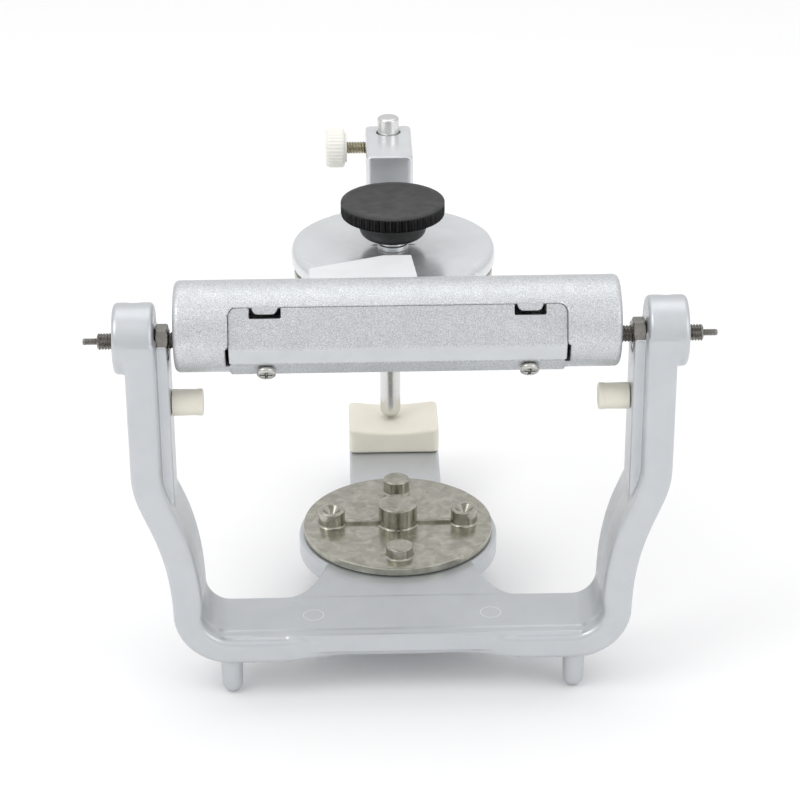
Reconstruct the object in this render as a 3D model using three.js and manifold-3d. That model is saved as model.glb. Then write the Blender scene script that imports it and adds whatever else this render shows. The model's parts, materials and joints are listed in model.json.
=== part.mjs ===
// Dental articulator: a jaw simulator with a U-shaped lower frame on three feet and an upper
// member that hinges and slides on two condylar blocks inside a tubular hinge housing.
// Millimetres. The hinge axis is X, the incisal table is towards +Y, up is +Z.
import * as THREE from 'three';
import { mergeVertices } from 'three/addons/utils/BufferGeometryUtils.js';
import Module from 'manifold-3d';

const wasm = await Module();
wasm.setup();

// ---------------------------------------------------------------- driving dimensions
// Every Y and Z below is measured from the hinge axis.
const axisHeight = 109.5; // hinge axis above the table it stands on
const gap = 0.3; // clearance kept between neighbouring pieces
const upperShift = -0.9; // side play: the upper member sits a little to the left

const frame = {
  near: -9.8, // near face of the U-shaped rim
  postOuter: 74.9, // half width across the posts
  footOuter: 65.1, // half width where the posts reach the base
  bottom: -98, // underside of the rim
  rim: 8.6, // thickness of the rim in the plane of the U
  web: 14.0, // far edge of the web behind the rim
  deck: -89.8, // top surface of the base
  deckThickness: 6,
  deckHalf: 56.5, // half width of the deck between the posts
  corner: 16, // radius of the U's outer bottom corners
  cornerFall: 1.22, // how fast that radius shrinks with depth into the rim
  edge: 1.5, // rounding of the rim's long edges
  footprint: -105, // below everything cast with the base
};
// The middle of the base's near edge curves in by depth between two ramps.
const bow = { depth: 3.3, half: 36, ramp: 20, start: 0.4, steps: 14 };
// A post is straight from its top to bendFrom, then steps inwards down to bendTo.
const post = { top: -4, bendFrom: -38, pullFrom: -50, pullTo: -56, pullOut: 0.9, bendTo: -80 };
// The web's far edge tapers towards the boss: distance in from frame.web at each height.
const webTaper = [[0, -58], [1.2, -40], [3, -25]];
const boss = { radius: 9.8, rise: 0.8, inner: 66.9, outer: 78, edge: 0.9, outerEdge: 1.2 };
const plate = { y: 53.3, radius: 28.8, thickness: 2.4 };
const platform = { radius: 30.2, step: 0.6, edge: 1 };
// Neck curves as Bezier points: half width, and distance in Y.
const baseNeck = [[33, 14], [27, 15], [23.5, 23], [21.6, 32.5]];
const discNeck = [[25, 16], [21, 20], [20.5, 25], [22, 34]];
const arm = { halfWidth: 14.4, end: 131, corner: 4 };
const table = {
  y: 115.6, near: 103.6, far: 125.2, width: 29, height: 8.5,
  dish: 1.3, // depth of the trough along Y
  dimple: 0.4, dimpleRadius: 6, // the hollow under the incisal pin
};
const foot = { radius: 3.35, tip: 2.9, x: 49.2, y: -4.4, rearY: 125 };
const peg = { radius: 3.8, length: 8.5, y: 1, z: -19.3, waist: 0.2, shank: 1.9, shankEnd: 66.2 };
const pad = { inner: 63.3, outer: 66.95, near: -6, far: 8, bottom: -58 };

const spindle = {
  thread: 2.4, journal: 1.6, pin: 0.95, // radii
  end: 50.6, journalFrom: 59.4, outer: 82.5, tip: 86.5, // distances along X
};
const clip = { radius: 2.4, groove: 1.1, inner: 1.3, thickness: 0.6, inset: 0.5, mouth: 0.9 };
const nut = { flats: 8, thickness: 3.4, chamfer: 0.5, crown: 4.75 };
// The spindles' set screws lean back from upright by lean degrees.
const setScrew = { x: 72.4, radius: 1.6, socket: 1.8, socketDepth: 1.6, sink: 0.6, lean: 24 };
const clamp = { radius: 2, bore: 3.3, threadDepth: 4.5 }; // clamp screws of the mounting plates
const tableScrew = { shank: 1.3, head: 3, headHeight: 2.2, seat: 2.6, reach: 4.2 };
const housing = { radius: 12.6, half: 60.7, y: 4.06, z: 2.31, bore: 10.2, wall: 3, edge: 1.6 };
const path = { angle: 30, half: 2.8, travel: 4, end: 8.6 }; // condylar path through the inserts
const block = { half: 2.5, from: 52.0, to: 56.2, clearance: 0.08 };
const insertFrom = 47;
const spring = { wire: 0.24, radius: 1.8, turns: 4 };
const cover = { half: 45.8, thickness: 1.2 };
const coverScrewDims = { shank: 1.3, head: 2.75, boss: 2.6, length: 5.5, recess: 1.5, slot: 0.32 };
const disc = { radius: 29.5, top: 4.9, thickness: 6.2, collar: 4.6, collarTop: 5.6 };
// The raised web between the tube and the disc: side view in Y-Z, plan in X-Y.
const bridge = {
  left: -24, right: 6.1, top: 13.5, far: 25.3, end: 31.5,
  plan: [[-24, 2], [6.1, 2], [5.7, 10], [4.6, 24.5], [4.1, 34], [1.5, 34], [-3.4, 25.4], [-24, 16]],
};
const knob = { radius: 15, top: 18.6, rim: 4.2, hub: 9.8, seat: 6.9, ribs: 40 };
// Underside of the knob's hub: [radius, height above its seat].
const hubProfile = [[4.2, 0], [4.2, 0.6], [6, 0.7], [8.2, 1.1], [9.3, 2], [9.8, 3.6]];
const washerDims = { radius: 4.4, thickness: 0.7 };
const lowerKnobDims = { radius: 11.5, height: 7.4, collar: 6, collarHeight: 1.2, bore: 5, ribs: 28 };
const pin = { y: 115.6, radius: 3.3, top: 21.4 };
const pinBlock = { halfWidth: 7.1, near: 93.8, far: 120.8, top: 16.6, bottom: -3, edge: 1 };
const thumb = { z: 11.4, radius: 6.1, from: 12.9, to: 19.5, thread: 1.95, collar: 4.5, flutes: 26 };
const stud = { centre: 5.85, outer: 4.0, reach: 20.2, countersink: 1.9, edge: 0.4 };
const studHeight = { centre: 6.6, rear: 4.4, front: 3.4, hollow: 4.7 };
const rib = { height: 1, acrossHalf: 0.8, alongHalf: 1 };
const overlap = 0.2; // how far pieces of one casting run into each other

// ---------------------------------------------------------------- materials
const finish = {
  satinSilver: { color: 0xc6cacc, roughness: 0.36, metalness: 0.75 },
  grainySilver: { color: 0xd2d5d6, roughness: 0.55, metalness: 0.6 },
  nickel: { color: 0xaeaf9c, roughness: 0.38, metalness: 0.9 },
  steel: { color: 0x8d8a84, roughness: 0.3, metalness: 1 },
  chrome: { color: 0xe4e6e8, roughness: 0.12, metalness: 1 },
  blackPlastic: { color: 0x2a2a2b, roughness: 0.6, metalness: 0 },
  creamPlastic: { color: 0xeeeade, roughness: 0.5, metalness: 0 },
  whitePlastic: { color: 0xf4f2e6, roughness: 0.42, metalness: 0 },
  springSteel: { color: 0x9a9a98, roughness: 0.25, metalness: 1 },
  brass: { color: 0xb79a5b, roughness: 0.35, metalness: 1 },
};

// ---------------------------------------------------------------- solid modelling helpers
// Signed volume of an indexed geometry: negative when its faces point inwards.
function signedVolume(position, index) {
  const [a, b, c] = [new THREE.Vector3(), new THREE.Vector3(), new THREE.Vector3()];
  let sum = 0;
  for (let i = 0; i < index.length; i += 3) {
    a.fromBufferAttribute(position, index[i]);
    b.fromBufferAttribute(position, index[i + 1]);
    c.fromBufferAttribute(position, index[i + 2]);
    sum += a.dot(b.cross(c));
  }
  return sum / 6;
}

// Turns a closed three.js geometry into a manifold solid.
function solid(geometry) {
  const bare = geometry.clone();
  bare.deleteAttribute('normal');
  bare.deleteAttribute('uv');
  const merged = mergeVertices(bare, 1e-4);
  const position = merged.getAttribute('position');
  const all = Array.from(merged.index.array);
  const index = [];
  for (let i = 0; i < all.length; i += 3) {
    const [p, q, r] = all.slice(i, i + 3);
    if (p !== q && q !== r && r !== p) {
      index.push(p, q, r);
    }
  }
  if (signedVolume(position, index) < 0) {
    index.reverse();
  }
  const mesh = new wasm.Mesh({
    numProp: 3,
    vertProperties: new Float32Array(position.array),
    triVerts: new Uint32Array(index),
  });
  return new wasm.Manifold(mesh);
}

function geometryOf(manifold) {
  const mesh = manifold.getMesh();
  const geometry = new THREE.BufferGeometry();
  geometry.setAttribute('position', new THREE.BufferAttribute(mesh.vertProperties, 3));
  geometry.setIndex(new THREE.BufferAttribute(mesh.triVerts, 1));
  return geometry;
}

function joined(parts) {
  return parts.reduce((sum, part) => sum.add(part));
}

function cut(body, tools) {
  return tools.reduce((rest, tool) => rest.subtract(tool), body);
}

function box(x0, x1, y0, y1, z0, z1) {
  const geometry = new THREE.BoxGeometry(x1 - x0, y1 - y0, z1 - z0);
  geometry.translate((x0 + x1) / 2, (y0 + y1) / 2, (z0 + z1) / 2);
  return solid(geometry);
}

function mirrored(manifold) {
  return manifold.mirror([1, 0, 0]);
}

const sides = [['left', -1], ['right', 1]];

function onSide(manifold, side) {
  return side < 0 ? mirrored(manifold) : manifold;
}

// An outline drawn in the X-Z plane, run from y0 back to y1.
function alongY(shape, y0, y1, bevel = {}, curveSegments = 10) {
  const geometry = new THREE.ExtrudeGeometry(shape, {
    depth: y1 - y0, curveSegments, bevelEnabled: false, ...bevel,
  });
  const axes = new THREE.Matrix4().makeBasis(
    new THREE.Vector3(1, 0, 0), new THREE.Vector3(0, 0, 1), new THREE.Vector3(0, -1, 0));
  geometry.applyMatrix4(axes);
  geometry.translate(0, y1, 0);
  return solid(geometry);
}

// An outline drawn in the X-Y plane, raised from z0 to z1.
function alongZ(shape, z0, z1, bevel = {}, curveSegments = 10) {
  const geometry = new THREE.ExtrudeGeometry(shape, {
    depth: z1 - z0, curveSegments, bevelEnabled: false, ...bevel,
  });
  geometry.translate(0, 0, z0);
  return solid(geometry);
}

// An outline drawn in the Y-Z plane, run from x0 to x1.
function alongX(shape, x0, x1, curveSegments = 10) {
  const geometry = new THREE.ExtrudeGeometry(shape, {
    depth: x1 - x0, curveSegments, bevelEnabled: false,
  });
  const axes = new THREE.Matrix4().makeBasis(
    new THREE.Vector3(0, 1, 0), new THREE.Vector3(0, 0, 1), new THREE.Vector3(1, 0, 0));
  geometry.applyMatrix4(axes);
  geometry.translate(x0, 0, 0);
  return solid(geometry);
}

// A turned piece: profile is a list of [radius, distance along the axis].
function turned(profile, axis, segments = 32) {
  const points = profile.map(([radius, along]) => new THREE.Vector2(radius, along));
  const geometry = new THREE.LatheGeometry(points, segments);
  if (axis === 'x') {
    geometry.rotateZ(-Math.PI / 2);
  } else if (axis === 'z') {
    geometry.rotateX(Math.PI / 2);
  }
  return solid(geometry);
}

// A plain round bar between two distances along its axis, with an optional edge chamfer.
function bar(radius, from, to, axis, segments = 32, chamfer = 0) {
  return turned([
    [0, from], [radius - chamfer, from], [radius, from + chamfer],
    [radius, to - chamfer], [radius - chamfer, to], [0, to],
  ], axis, segments);
}

function outline(points) {
  return new THREE.Shape(points.map(([x, y]) => new THREE.Vector2(x, y)));
}

function bezierPoints(corners, steps) {
  const curve = new THREE.CubicBezierCurve(...corners.map(([x, y]) => new THREE.Vector2(x, y)));
  return curve.getPoints(steps).map((point) => [point.x, point.y]);
}

// Half a plan view, and the same mirrored in X.
function symmetric(half) {
  return outline([...half, ...half.map(([x, y]) => [-x, y]).reverse()]);
}

function roundedRectangle(x0, x1, y0, y1, radius) {
  const shape = new THREE.Shape();
  shape.moveTo(x0 + radius, y0);
  shape.lineTo(x1 - radius, y0);
  shape.absarc(x1 - radius, y0 + radius, radius, -Math.PI / 2, 0);
  shape.lineTo(x1, y1 - radius);
  shape.absarc(x1 - radius, y1 - radius, radius, 0, Math.PI / 2);
  shape.lineTo(x0 + radius, y1);
  shape.absarc(x0 + radius, y1 - radius, radius, Math.PI / 2, Math.PI);
  shape.lineTo(x0, y0 + radius);
  shape.absarc(x0 + radius, y0 + radius, radius, Math.PI, 1.5 * Math.PI);
  return shape;
}

function hexagon(flats) {
  const radius = flats / Math.sqrt(3);
  const corners = [];
  for (let i = 0; i < 6; i += 1) {
    const angle = (i * Math.PI) / 3;
    corners.push([radius * Math.cos(angle), radius * Math.sin(angle)]);
  }
  return outline(corners);
}

// ---------------------------------------------------------------- scene graph
const articulator = new THREE.Group();
const lower = new THREE.Group();
const upper = new THREE.Group();
upper.position.x = upperShift;
articulator.add(lower, upper);

function addPiece(group, name, manifold, look) {
  const mesh = new THREE.Mesh(geometryOf(manifold), new THREE.MeshStandardMaterial(look));
  mesh.name = name;
  group.add(mesh);
}

// ---------------------------------------------------------------- lower frame
// Half of the U's outer edge, from the post top down and round to the middle of the base.
function postEdge(inset) {
  const steps = 6;
  const smallest = 4;
  const top = frame.postOuter - inset;
  const knee = frame.footOuter - inset;
  const points = [
    [top, post.top],
    ...bezierPoints([
      [top, post.bendFrom], [top, post.pullFrom], [knee + post.pullOut, post.pullTo], [knee, post.bendTo],
    ], 9),
  ];
  const corner = Math.max(frame.corner - frame.cornerFall * inset, smallest);
  const floor = frame.bottom + inset;
  const centre = [knee - corner, floor + corner];
  for (let i = 0; i <= steps; i += 1) {
    const angle = (-i * Math.PI) / (2 * steps);
    points.push([centre[0] + corner * Math.cos(angle), centre[1] + corner * Math.sin(angle)]);
  }
  return points;
}

// The whole U as a closed band between two insets from its outer edge.
function uBand(outerInset, innerInset) {
  const outer = postEdge(outerInset);
  const inner = postEdge(innerInset);
  const flip = ([x, z]) => [-x, z];
  return outline([
    ...outer,
    ...outer.map(flip).reverse(),
    ...inner.map(flip),
    ...inner.slice().reverse(),
  ]);
}

// Base plan: the deck runs from the posts to a waisted neck, the round platform and the arm.
function deckPlan() {
  return symmetric([
    [frame.deckHalf, frame.near + 2],
    [frame.deckHalf, frame.web],
    ...bezierPoints(baseNeck, 10),
    [arm.halfWidth - 2, plate.y - 6],
  ]);
}

// The near edge of the base curves in behind this line, which starts just off the rim.
function bowCutter() {
  const line = [];
  const outside = frame.near - 4;
  for (let i = 0; i <= bow.steps; i += 1) {
    const x = bow.half * ((2 * i) / bow.steps - 1);
    const ramp = THREE.MathUtils.smoothstep(bow.half - Math.abs(x), 0, bow.ramp);
    line.push([x, frame.near - bow.start + (bow.depth + bow.start) * ramp]);
  }
  const shape = outline([[-bow.half, outside], ...line, [bow.half, outside]].reverse());
  return alongZ(shape, frame.footprint, frame.deck + 6);
}

function footSolid(x, y, top) {
  const floor = -axisHeight;
  const profile = [[0, floor]];
  const steps = 4;
  for (let i = 1; i <= steps; i += 1) {
    const angle = (i * Math.PI) / (2 * steps);
    profile.push([foot.tip * Math.sin(angle), floor + foot.tip * (1 - Math.cos(angle))]);
  }
  profile.push([foot.radius, top], [0, top]);
  return turned(profile, 'z', 18).translate([x, y, 0]);
}

const deckBottom = frame.deck - frame.deckThickness;

function platformSolid() {
  const { radius, step, edge } = platform;
  return turned([
    [0, deckBottom - step], [radius - edge, deckBottom - step], [radius, deckBottom - step + edge],
    [radius, frame.deck - edge], [radius - edge, frame.deck], [0, frame.deck],
  ], 'z', 56).translate([0, plate.y, 0]);
}

function bossSolid() {
  const { radius, inner, outer, edge, outerEdge, rise } = boss;
  return turned([
    [0, inner], [radius - edge, inner], [radius, inner + edge],
    [radius, outer - outerEdge], [radius - outerEdge, outer], [0, outer],
  ], 'x', 32).translate([0, 0, rise]);
}

// The band behind the rim, trimmed to its taper seen from the side.
function webSolid() {
  const trim = outline([
    [frame.near - 1, frame.footprint], [frame.web, frame.footprint],
    ...webTaper.map(([inset, z]) => [frame.web - inset, z]),
    [boss.radius - 0.6, -6], [boss.radius - 2, 0], [frame.near - 1, 0],
  ]);
  return alongY(uBand(2.2, frame.rim - 0.4), frame.near + 3, frame.web)
    .intersect(alongX(trim, -frame.postOuter, frame.postOuter));
}

function leaning(manifold) {
  return manifold.rotate([-setScrew.lean, 0, 0]).translate([setScrew.x, 0, 0]);
}

// Bores of one side: spindle, room for the hexagon nut, set screw and peg.
function sideBores() {
  const corner = nut.flats / Math.sqrt(3);
  return [
    bar(spindle.thread + gap, pad.inner - 3, boss.outer + 2, 'x', 32),
    bar(corner + 1.5 * gap, pad.inner - 3, boss.inner, 'x', 36),
    leaning(bar(setScrew.radius + gap, 0, boss.radius + 4, 'z', 24)),
    bar(peg.shank + gap, pad.inner - 3, peg.shankEnd + gap, 'x', 24).translate([0, peg.y, peg.z]),
  ];
}

function lowerFrame() {
  const bevel = {
    bevelEnabled: true, bevelThickness: frame.edge, bevelSize: frame.edge, bevelSegments: 2,
  };
  const { edge, near, footprint, deck } = frame;
  const rim = alongY(uBand(edge, frame.rim - edge), near + edge, 3, bevel);
  const armPlan = roundedRectangle(-arm.halfWidth, arm.halfWidth, plate.y + 9, arm.end, arm.corner);
  const parts = [
    rim, webSolid(), alongZ(deckPlan(), deckBottom, deck), platformSolid(),
    alongZ(armPlan, deckBottom, deck), footSolid(0, foot.rearY, deckBottom),
  ];
  const bores = [bowCutter()];
  for (const [, side] of sides) {
    const ledge = box(pad.inner, pad.outer, pad.near, pad.far, pad.bottom, 0);
    parts.push(onSide(bossSolid(), side), onSide(ledge, side));
    parts.push(footSolid(side * foot.x, foot.y, deckBottom));
    bores.push(...sideBores().map((bore) => onSide(bore, side)));
  }
  const below = footprint - 5;
  const above = deck + 5;
  bores.push(bar(clamp.bore, below, above, 'z', 24).translate([0, plate.y, 0]));
  for (const [radius, top] of [
    [tableScrew.shank + 0.5, above], [tableScrew.head + gap, deckBottom + tableScrew.seat],
  ]) {
    bores.push(bar(radius, below, top, 'z', 24).translate([0, table.y, 0]));
  }
  return cut(joined(parts), bores);
}
addPiece(lower, 'lower_frame', lowerFrame(), finish.satinSilver);

// Posts' stop pegs: a round head with a shank pressed into the pad.
for (const [name, side] of sides) {
  const root = pad.inner - gap;
  const head = root - peg.length;
  const shape = turned([
    [0, head], [peg.radius - 0.3, head], [peg.radius, head + 0.5], [peg.radius, head + 1.1],
    [peg.radius - peg.waist, head + 1.5], [peg.radius - 0.1, root],
    [peg.shank, root], [peg.shank, peg.shankEnd], [0, peg.shankEnd],
  ], 'x', 20).translate([0, peg.y, peg.z]);
  addPiece(lower, `stop_peg_${name}`, onSide(shape, side), finish.creamPlastic);
}

// ---------------------------------------------------------------- condylar spindles
function spindleSolid() {
  return turned([
    [0, spindle.end], [spindle.journal, spindle.end], [spindle.journal, spindle.journalFrom],
    [spindle.thread, spindle.journalFrom + 0.4], [spindle.thread, spindle.outer - 0.5],
    [spindle.thread - 0.5, spindle.outer], [spindle.pin, spindle.outer],
    [spindle.pin, spindle.tip - 0.3], [spindle.pin - 0.3, spindle.tip], [0, spindle.tip],
  ], 'x', 20);
}

// A ring about the spindle between two distances from its inner end.
function spindleRing(outer, inner, from, to) {
  const hole = bar(inner, spindle.end - 1, spindle.end + 3, 'x', 20);
  return bar(outer, spindle.end + from, spindle.end + to, 'x', 24).subtract(hole);
}

function clipSolid() {
  const ring = spindleRing(clip.radius, clip.inner, clip.inset, clip.inset + clip.thickness);
  return ring.subtract(box(spindle.end, spindle.end + 2, -clip.mouth, clip.mouth, 0, 4));
}

function grooveCutter() {
  const clearance = overlap;
  return spindleRing(clip.radius + 0.6, clip.groove, clip.inset - clearance,
    clip.inset + clip.thickness + clearance);
}

for (const [name, side] of sides) {
  const shaft = cut(spindleSolid(), [grooveCutter()]);
  addPiece(lower, `spindle_${name}`, onSide(shaft, side), finish.steel);
  addPiece(lower, `retaining_clip_${name}`, onSide(clipSolid(), side), finish.springSteel);

  const nutFrom = boss.inner - gap - nut.thickness;
  const nutTo = nutFrom + nut.thickness;
  const crown = turned([
    [0, nutFrom], [nut.flats / 2, nutFrom], [nut.crown, nutFrom + nut.chamfer],
    [nut.crown, nutTo - nut.chamfer], [nut.flats / 2, nutTo], [0, nutTo],
  ], 'x', 24);
  const nutBody = alongX(hexagon(nut.flats), nutFrom, nutTo)
    .intersect(crown)
    .subtract(bar(spindle.thread + gap, nutFrom - 1, nutTo + 1, 'x', 20));
  addPiece(lower, `lock_nut_${name}`, onSide(nutBody, side), finish.steel);

  const screwTop = boss.rise + boss.radius - setScrew.sink;
  const socket = alongZ(hexagon(setScrew.socket), screwTop - setScrew.socketDepth, screwTop + 1);
  const grub = bar(setScrew.radius, spindle.thread + gap, screwTop, 'z', 20, 0.25).subtract(socket);
  addPiece(lower, `set_screw_${name}`, onSide(leaning(grub), side), finish.steel);
}

// ---------------------------------------------------------------- mounting plates
// One plate for each jaw: a nickel disc with five studs and thin ribs between them.
// It is built with its back face at z = 0 and its studs pointing to +Z.
function studSolid(x, y, radius, height, countersunk) {
  const base = plate.thickness - overlap;
  const top = plate.thickness + height;
  const profile = [[0, base], [radius, base], [radius, top - stud.edge], [radius - stud.edge, top]];
  if (countersunk) {
    profile.push([stud.countersink, top], [0, top - stud.countersink - 0.5]);
  } else {
    profile.push([0, top]);
  }
  return turned(profile, 'z', 20).translate([x, y, 0]);
}

function mountingPlate() {
  const base = bar(plate.radius, 0, plate.thickness, 'z', 48, 0.3);
  const ribBase = plate.thickness - overlap;
  const ribTop = plate.thickness + rib.height;
  const ribs = [
    box(-stud.reach, stud.reach, -rib.acrossHalf, rib.acrossHalf, ribBase, ribTop),
    box(-rib.alongHalf, rib.alongHalf, -stud.reach, 0, ribBase, ribTop),
  ];
  const studs = [
    studSolid(0, 0, stud.centre, studHeight.centre, false),
    studSolid(0, stud.reach, stud.outer, studHeight.rear, false),
    studSolid(0, -stud.reach, stud.outer, studHeight.front, false),
    studSolid(-stud.reach, 0, stud.outer, studHeight.hollow, true),
    studSolid(stud.reach, 0, stud.outer, studHeight.hollow, true),
  ];
  const threaded = bar(clamp.radius + gap, -1, plate.thickness + clamp.threadDepth, 'z', 20);
  return cut(joined([base, ...ribs, ...studs]), [threaded]);
}
const lowerPlate = mountingPlate().translate([0, plate.y, frame.deck + gap]);
addPiece(lower, 'lower_mounting_plate', lowerPlate, finish.nickel);

// The stepped clamp screw of a mounting plate, moulded into its knob. Z runs towards the plate.
function clampScrew(length) {
  return bar(clamp.radius, 0, length, 'z', 20, 0.3);
}

// The outline of a ribbed wheel: corners at two radii in turn.
function ribbedOutline(radius, depth, ribs) {
  const points = [];
  for (let i = 0; i < ribs * 2; i += 1) {
    const angle = (i * Math.PI) / ribs;
    const reach = i % 2 ? radius - depth : radius;
    points.push([reach * Math.cos(angle), reach * Math.sin(angle)]);
  }
  return outline(points);
}
const knurlDepth = 0.45;

// Lower clamp knob: a flat knurled wheel under the platform, clear of the table.
const lowerKnobTop = deckBottom - platform.step - gap;
function lowerKnob() {
  const { radius, height, collar, collarHeight, bore, ribs } = lowerKnobDims;
  const rim = ribbedOutline(radius, knurlDepth, ribs);
  const wheel = alongZ(rim, lowerKnobTop - height, lowerKnobTop - collarHeight);
  const boreSolid = bar(clamp.radius + gap, lowerKnobTop - bore, lowerKnobTop + 1, 'z', 20);
  return wheel
    .add(bar(collar, lowerKnobTop - collarHeight - overlap, lowerKnobTop, 'z', 28))
    .subtract(boreSolid)
    .translate([0, plate.y, 0]);
}
addPiece(lower, 'lower_clamp_knob', lowerKnob(), finish.blackPlastic);
const lowerScrew = clampScrew(15).translate([0, plate.y, lowerKnobTop - lowerKnobDims.bore + gap]);
addPiece(lower, 'lower_clamp_screw', lowerScrew, finish.steel);

// ---------------------------------------------------------------- incisal table
function incisalTable() {
  const bottom = frame.deck + gap;
  const top = bottom + table.height;
  const edge = 0.5;
  const plan = roundedRectangle(-table.width / 2, table.width / 2, table.near, table.far, 2);
  const bevel = {
    bevelEnabled: true, bevelThickness: edge, bevelSize: edge, bevelOffset: -edge, bevelSegments: 1,
  };
  const body = alongZ(plan, bottom + edge, top - edge, bevel, 4);
  const troughRadius = (table.width ** 2 / 4 + table.dish ** 2) / (2 * table.dish);
  const trough = new THREE.CylinderGeometry(troughRadius, troughRadius, 60, 150);
  trough.translate(0, table.y, 0);
  const dish = solid(trough).translate([0, 0, top + troughRadius - table.dish]);
  const floor = top - table.dish - table.dimple;
  const pit = solid(new THREE.SphereGeometry(table.dimpleRadius, 48, 48))
    .translate([upperShift, table.y, floor + table.dimpleRadius]);
  const screwHole = bar(tableScrew.shank + gap, bottom - 1, bottom + 4.6, 'z', 20)
    .translate([0, table.y, 0]);
  return cut(body, [dish, pit, screwHole]);
}
addPiece(lower, 'incisal_table', incisalTable(), finish.creamPlastic);

function tableScrewSolid() {
  const { head, headHeight, shank, reach } = tableScrew;
  const seat = deckBottom + tableScrew.seat - gap;
  const slotHalf = 0.4;
  const slot = box(-slotHalf, slotHalf, -4, 4, seat - headHeight - 1, seat - headHeight + 1);
  return bar(head, seat - headHeight, seat, 'z', 24, 0.3)
    .add(bar(shank, seat - overlap, frame.deck + reach, 'z', 20))
    .subtract(slot)
    .translate([0, table.y, 0]);
}
addPiece(lower, 'incisal_table_screw', tableScrewSolid(), finish.steel);

// ---------------------------------------------------------------- condylar blocks and inserts
// Along and across the condylar path: the path drops forwards from the hinge axis.
const pathAngle = THREE.MathUtils.degToRad(path.angle);

function inPathFrame(manifold) {
  return manifold.rotate([-path.angle, 0, 0]);
}

// A stadium-shaped channel along the path, round at its rear stop and flat at its front end.
function channelShape(half, rear, front) {
  const shape = new THREE.Shape();
  shape.moveTo(front, -half);
  shape.lineTo(front, half);
  shape.lineTo(-rear + half, half);
  shape.absarc(-rear + half, 0, half, Math.PI / 2, 1.5 * Math.PI);
  return shape;
}

for (const [name, side] of sides) {
  const outer = channelShape(block.half, block.half, block.half);
  const body = alongX(outer, block.from, block.to, 8)
    .subtract(bar(spindle.journal + block.clearance, block.from - 2, block.to + 4, 'x', 28));
  addPiece(lower, `condylar_block_${name}`, onSide(inPathFrame(body), side), finish.brass);
}

for (const [name, side] of sides) {
  const to = housing.half - housing.wall - gap;
  const plug = bar(housing.bore - gap, insertFrom, to, 'x', 40).translate([0, housing.y, housing.z]);
  const channelOutline = channelShape(path.half, path.half, path.end);
  const channel = inPathFrame(alongX(channelOutline, insertFrom - 5, to + 5, 8));
  addPiece(upper, `condylar_insert_${name}`, onSide(plug.subtract(channel), side), finish.creamPlastic);
}

// Return springs: each pushes its block back to the rear stop of the path.
class Helix extends THREE.Curve {
  constructor(radius, pitch, turns) {
    super();
    Object.assign(this, { radius, pitch, turns });
  }

  getPoint(t, target = new THREE.Vector3()) {
    const angle = 2 * Math.PI * this.turns * t;
    return target.set(
      this.radius * Math.cos(angle), this.pitch * this.turns * t, this.radius * Math.sin(angle));
  }
}

function springSolid() {
  const { wire, radius, turns } = spring;
  const start = block.half + gap + wire;
  const length = path.end - gap - wire - start;
  const section = new THREE.Shape().absarc(0, 0, wire, 0, 2 * Math.PI);
  const geometry = new THREE.ExtrudeGeometry(section, {
    extrudePath: new Helix(radius, length / turns, turns), steps: 9 * turns, curveSegments: 3,
    bevelEnabled: false,
  });
  geometry.translate((block.from + block.to) / 2, start, 0);
  return inPathFrame(solid(geometry));
}
for (const [name, side] of sides) {
  addPiece(lower, `return_spring_${name}`, onSide(springSolid(), side), finish.springSteel);
}

// ---------------------------------------------------------------- upper frame
const discBottom = disc.top - disc.thickness;

// The sheet cover on the tube's near side has two flats. Its fold line is drawn in the Y-Z
// plane around the tube's centre: top edge, bend, bottom edge. The lip below carries the screws.
const fold = {
  top: new THREE.Vector2(-8.6, 9.1),
  bend: new THREE.Vector2(-12.5, -1.5),
  bottom: new THREE.Vector2(-10.55, -6.9),
  lip: new THREE.Vector2(-7, -11.7),
};
const lipDepth = 2; // thickness of the strip behind the lip
const catchX = 35.8; // cover notches, tongues and screws, each side of the middle
const notch = { half: 4.3, depth: 3.0, side: 0.9, under: 0.9 }; // side, under: clearance at a tongue

function towardsCentre(point, distance) {
  return point.clone().multiplyScalar(1 - distance / point.length());
}

function pastEnd(end, from, distance) {
  return end.clone().add(end.clone().sub(from).setLength(distance));
}

function polygon(vectors) {
  return outline(vectors.map((v) => [v.x, v.y]));
}

// The cover's section, or with a clearance the pocket cut for it.
function coverSection(clearance, outwards) {
  const extra = Math.max(clearance, 0.001);
  const top = pastEnd(fold.top, fold.bend, extra);
  const bottom = pastEnd(fold.bottom, fold.bend, extra);
  const depth = cover.thickness + clearance;
  return polygon([
    towardsCentre(top, -outwards), towardsCentre(fold.bend, -outwards),
    towardsCentre(bottom, -outwards), towardsCentre(bottom, depth),
    towardsCentre(fold.bend, depth), towardsCentre(top, depth),
  ]);
}

// A point in the plane of the cover's upper flat: distance down the flat, and out from it.
function onFlat(down, out) {
  const along = fold.bend.clone().sub(fold.top).normalize();
  const normal = new THREE.Vector2(along.y, -along.x);
  return fold.top.clone().addScaledVector(along, down).addScaledVector(normal, out);
}

// A short block on the flat, centred on x.
function blockOnFlat(x, half, downFrom, downTo, outFrom, outTo) {
  const section = polygon([
    onFlat(downFrom, outFrom), onFlat(downTo, outFrom), onFlat(downTo, outTo), onFlat(downFrom, outTo),
  ]);
  return alongX(section, x - half, x + half);
}

// The cover screws stand square on the lip flat.
const lipMiddle = fold.bottom.clone().lerp(fold.lip, 0.5);
const lipDirection = fold.lip.clone().sub(fold.bottom).normalize();
const screwTilt = 180 - THREE.MathUtils.radToDeg(Math.atan2(-lipDirection.y, lipDirection.x));

function onLip(manifold, x) {
  return manifold
    .rotate([screwTilt, 0, 0])
    .translate([x, lipMiddle.x + housing.y, lipMiddle.y + housing.z]);
}

function tubeAxis(manifold) {
  return manifold.translate([0, housing.y, housing.z]);
}

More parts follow.
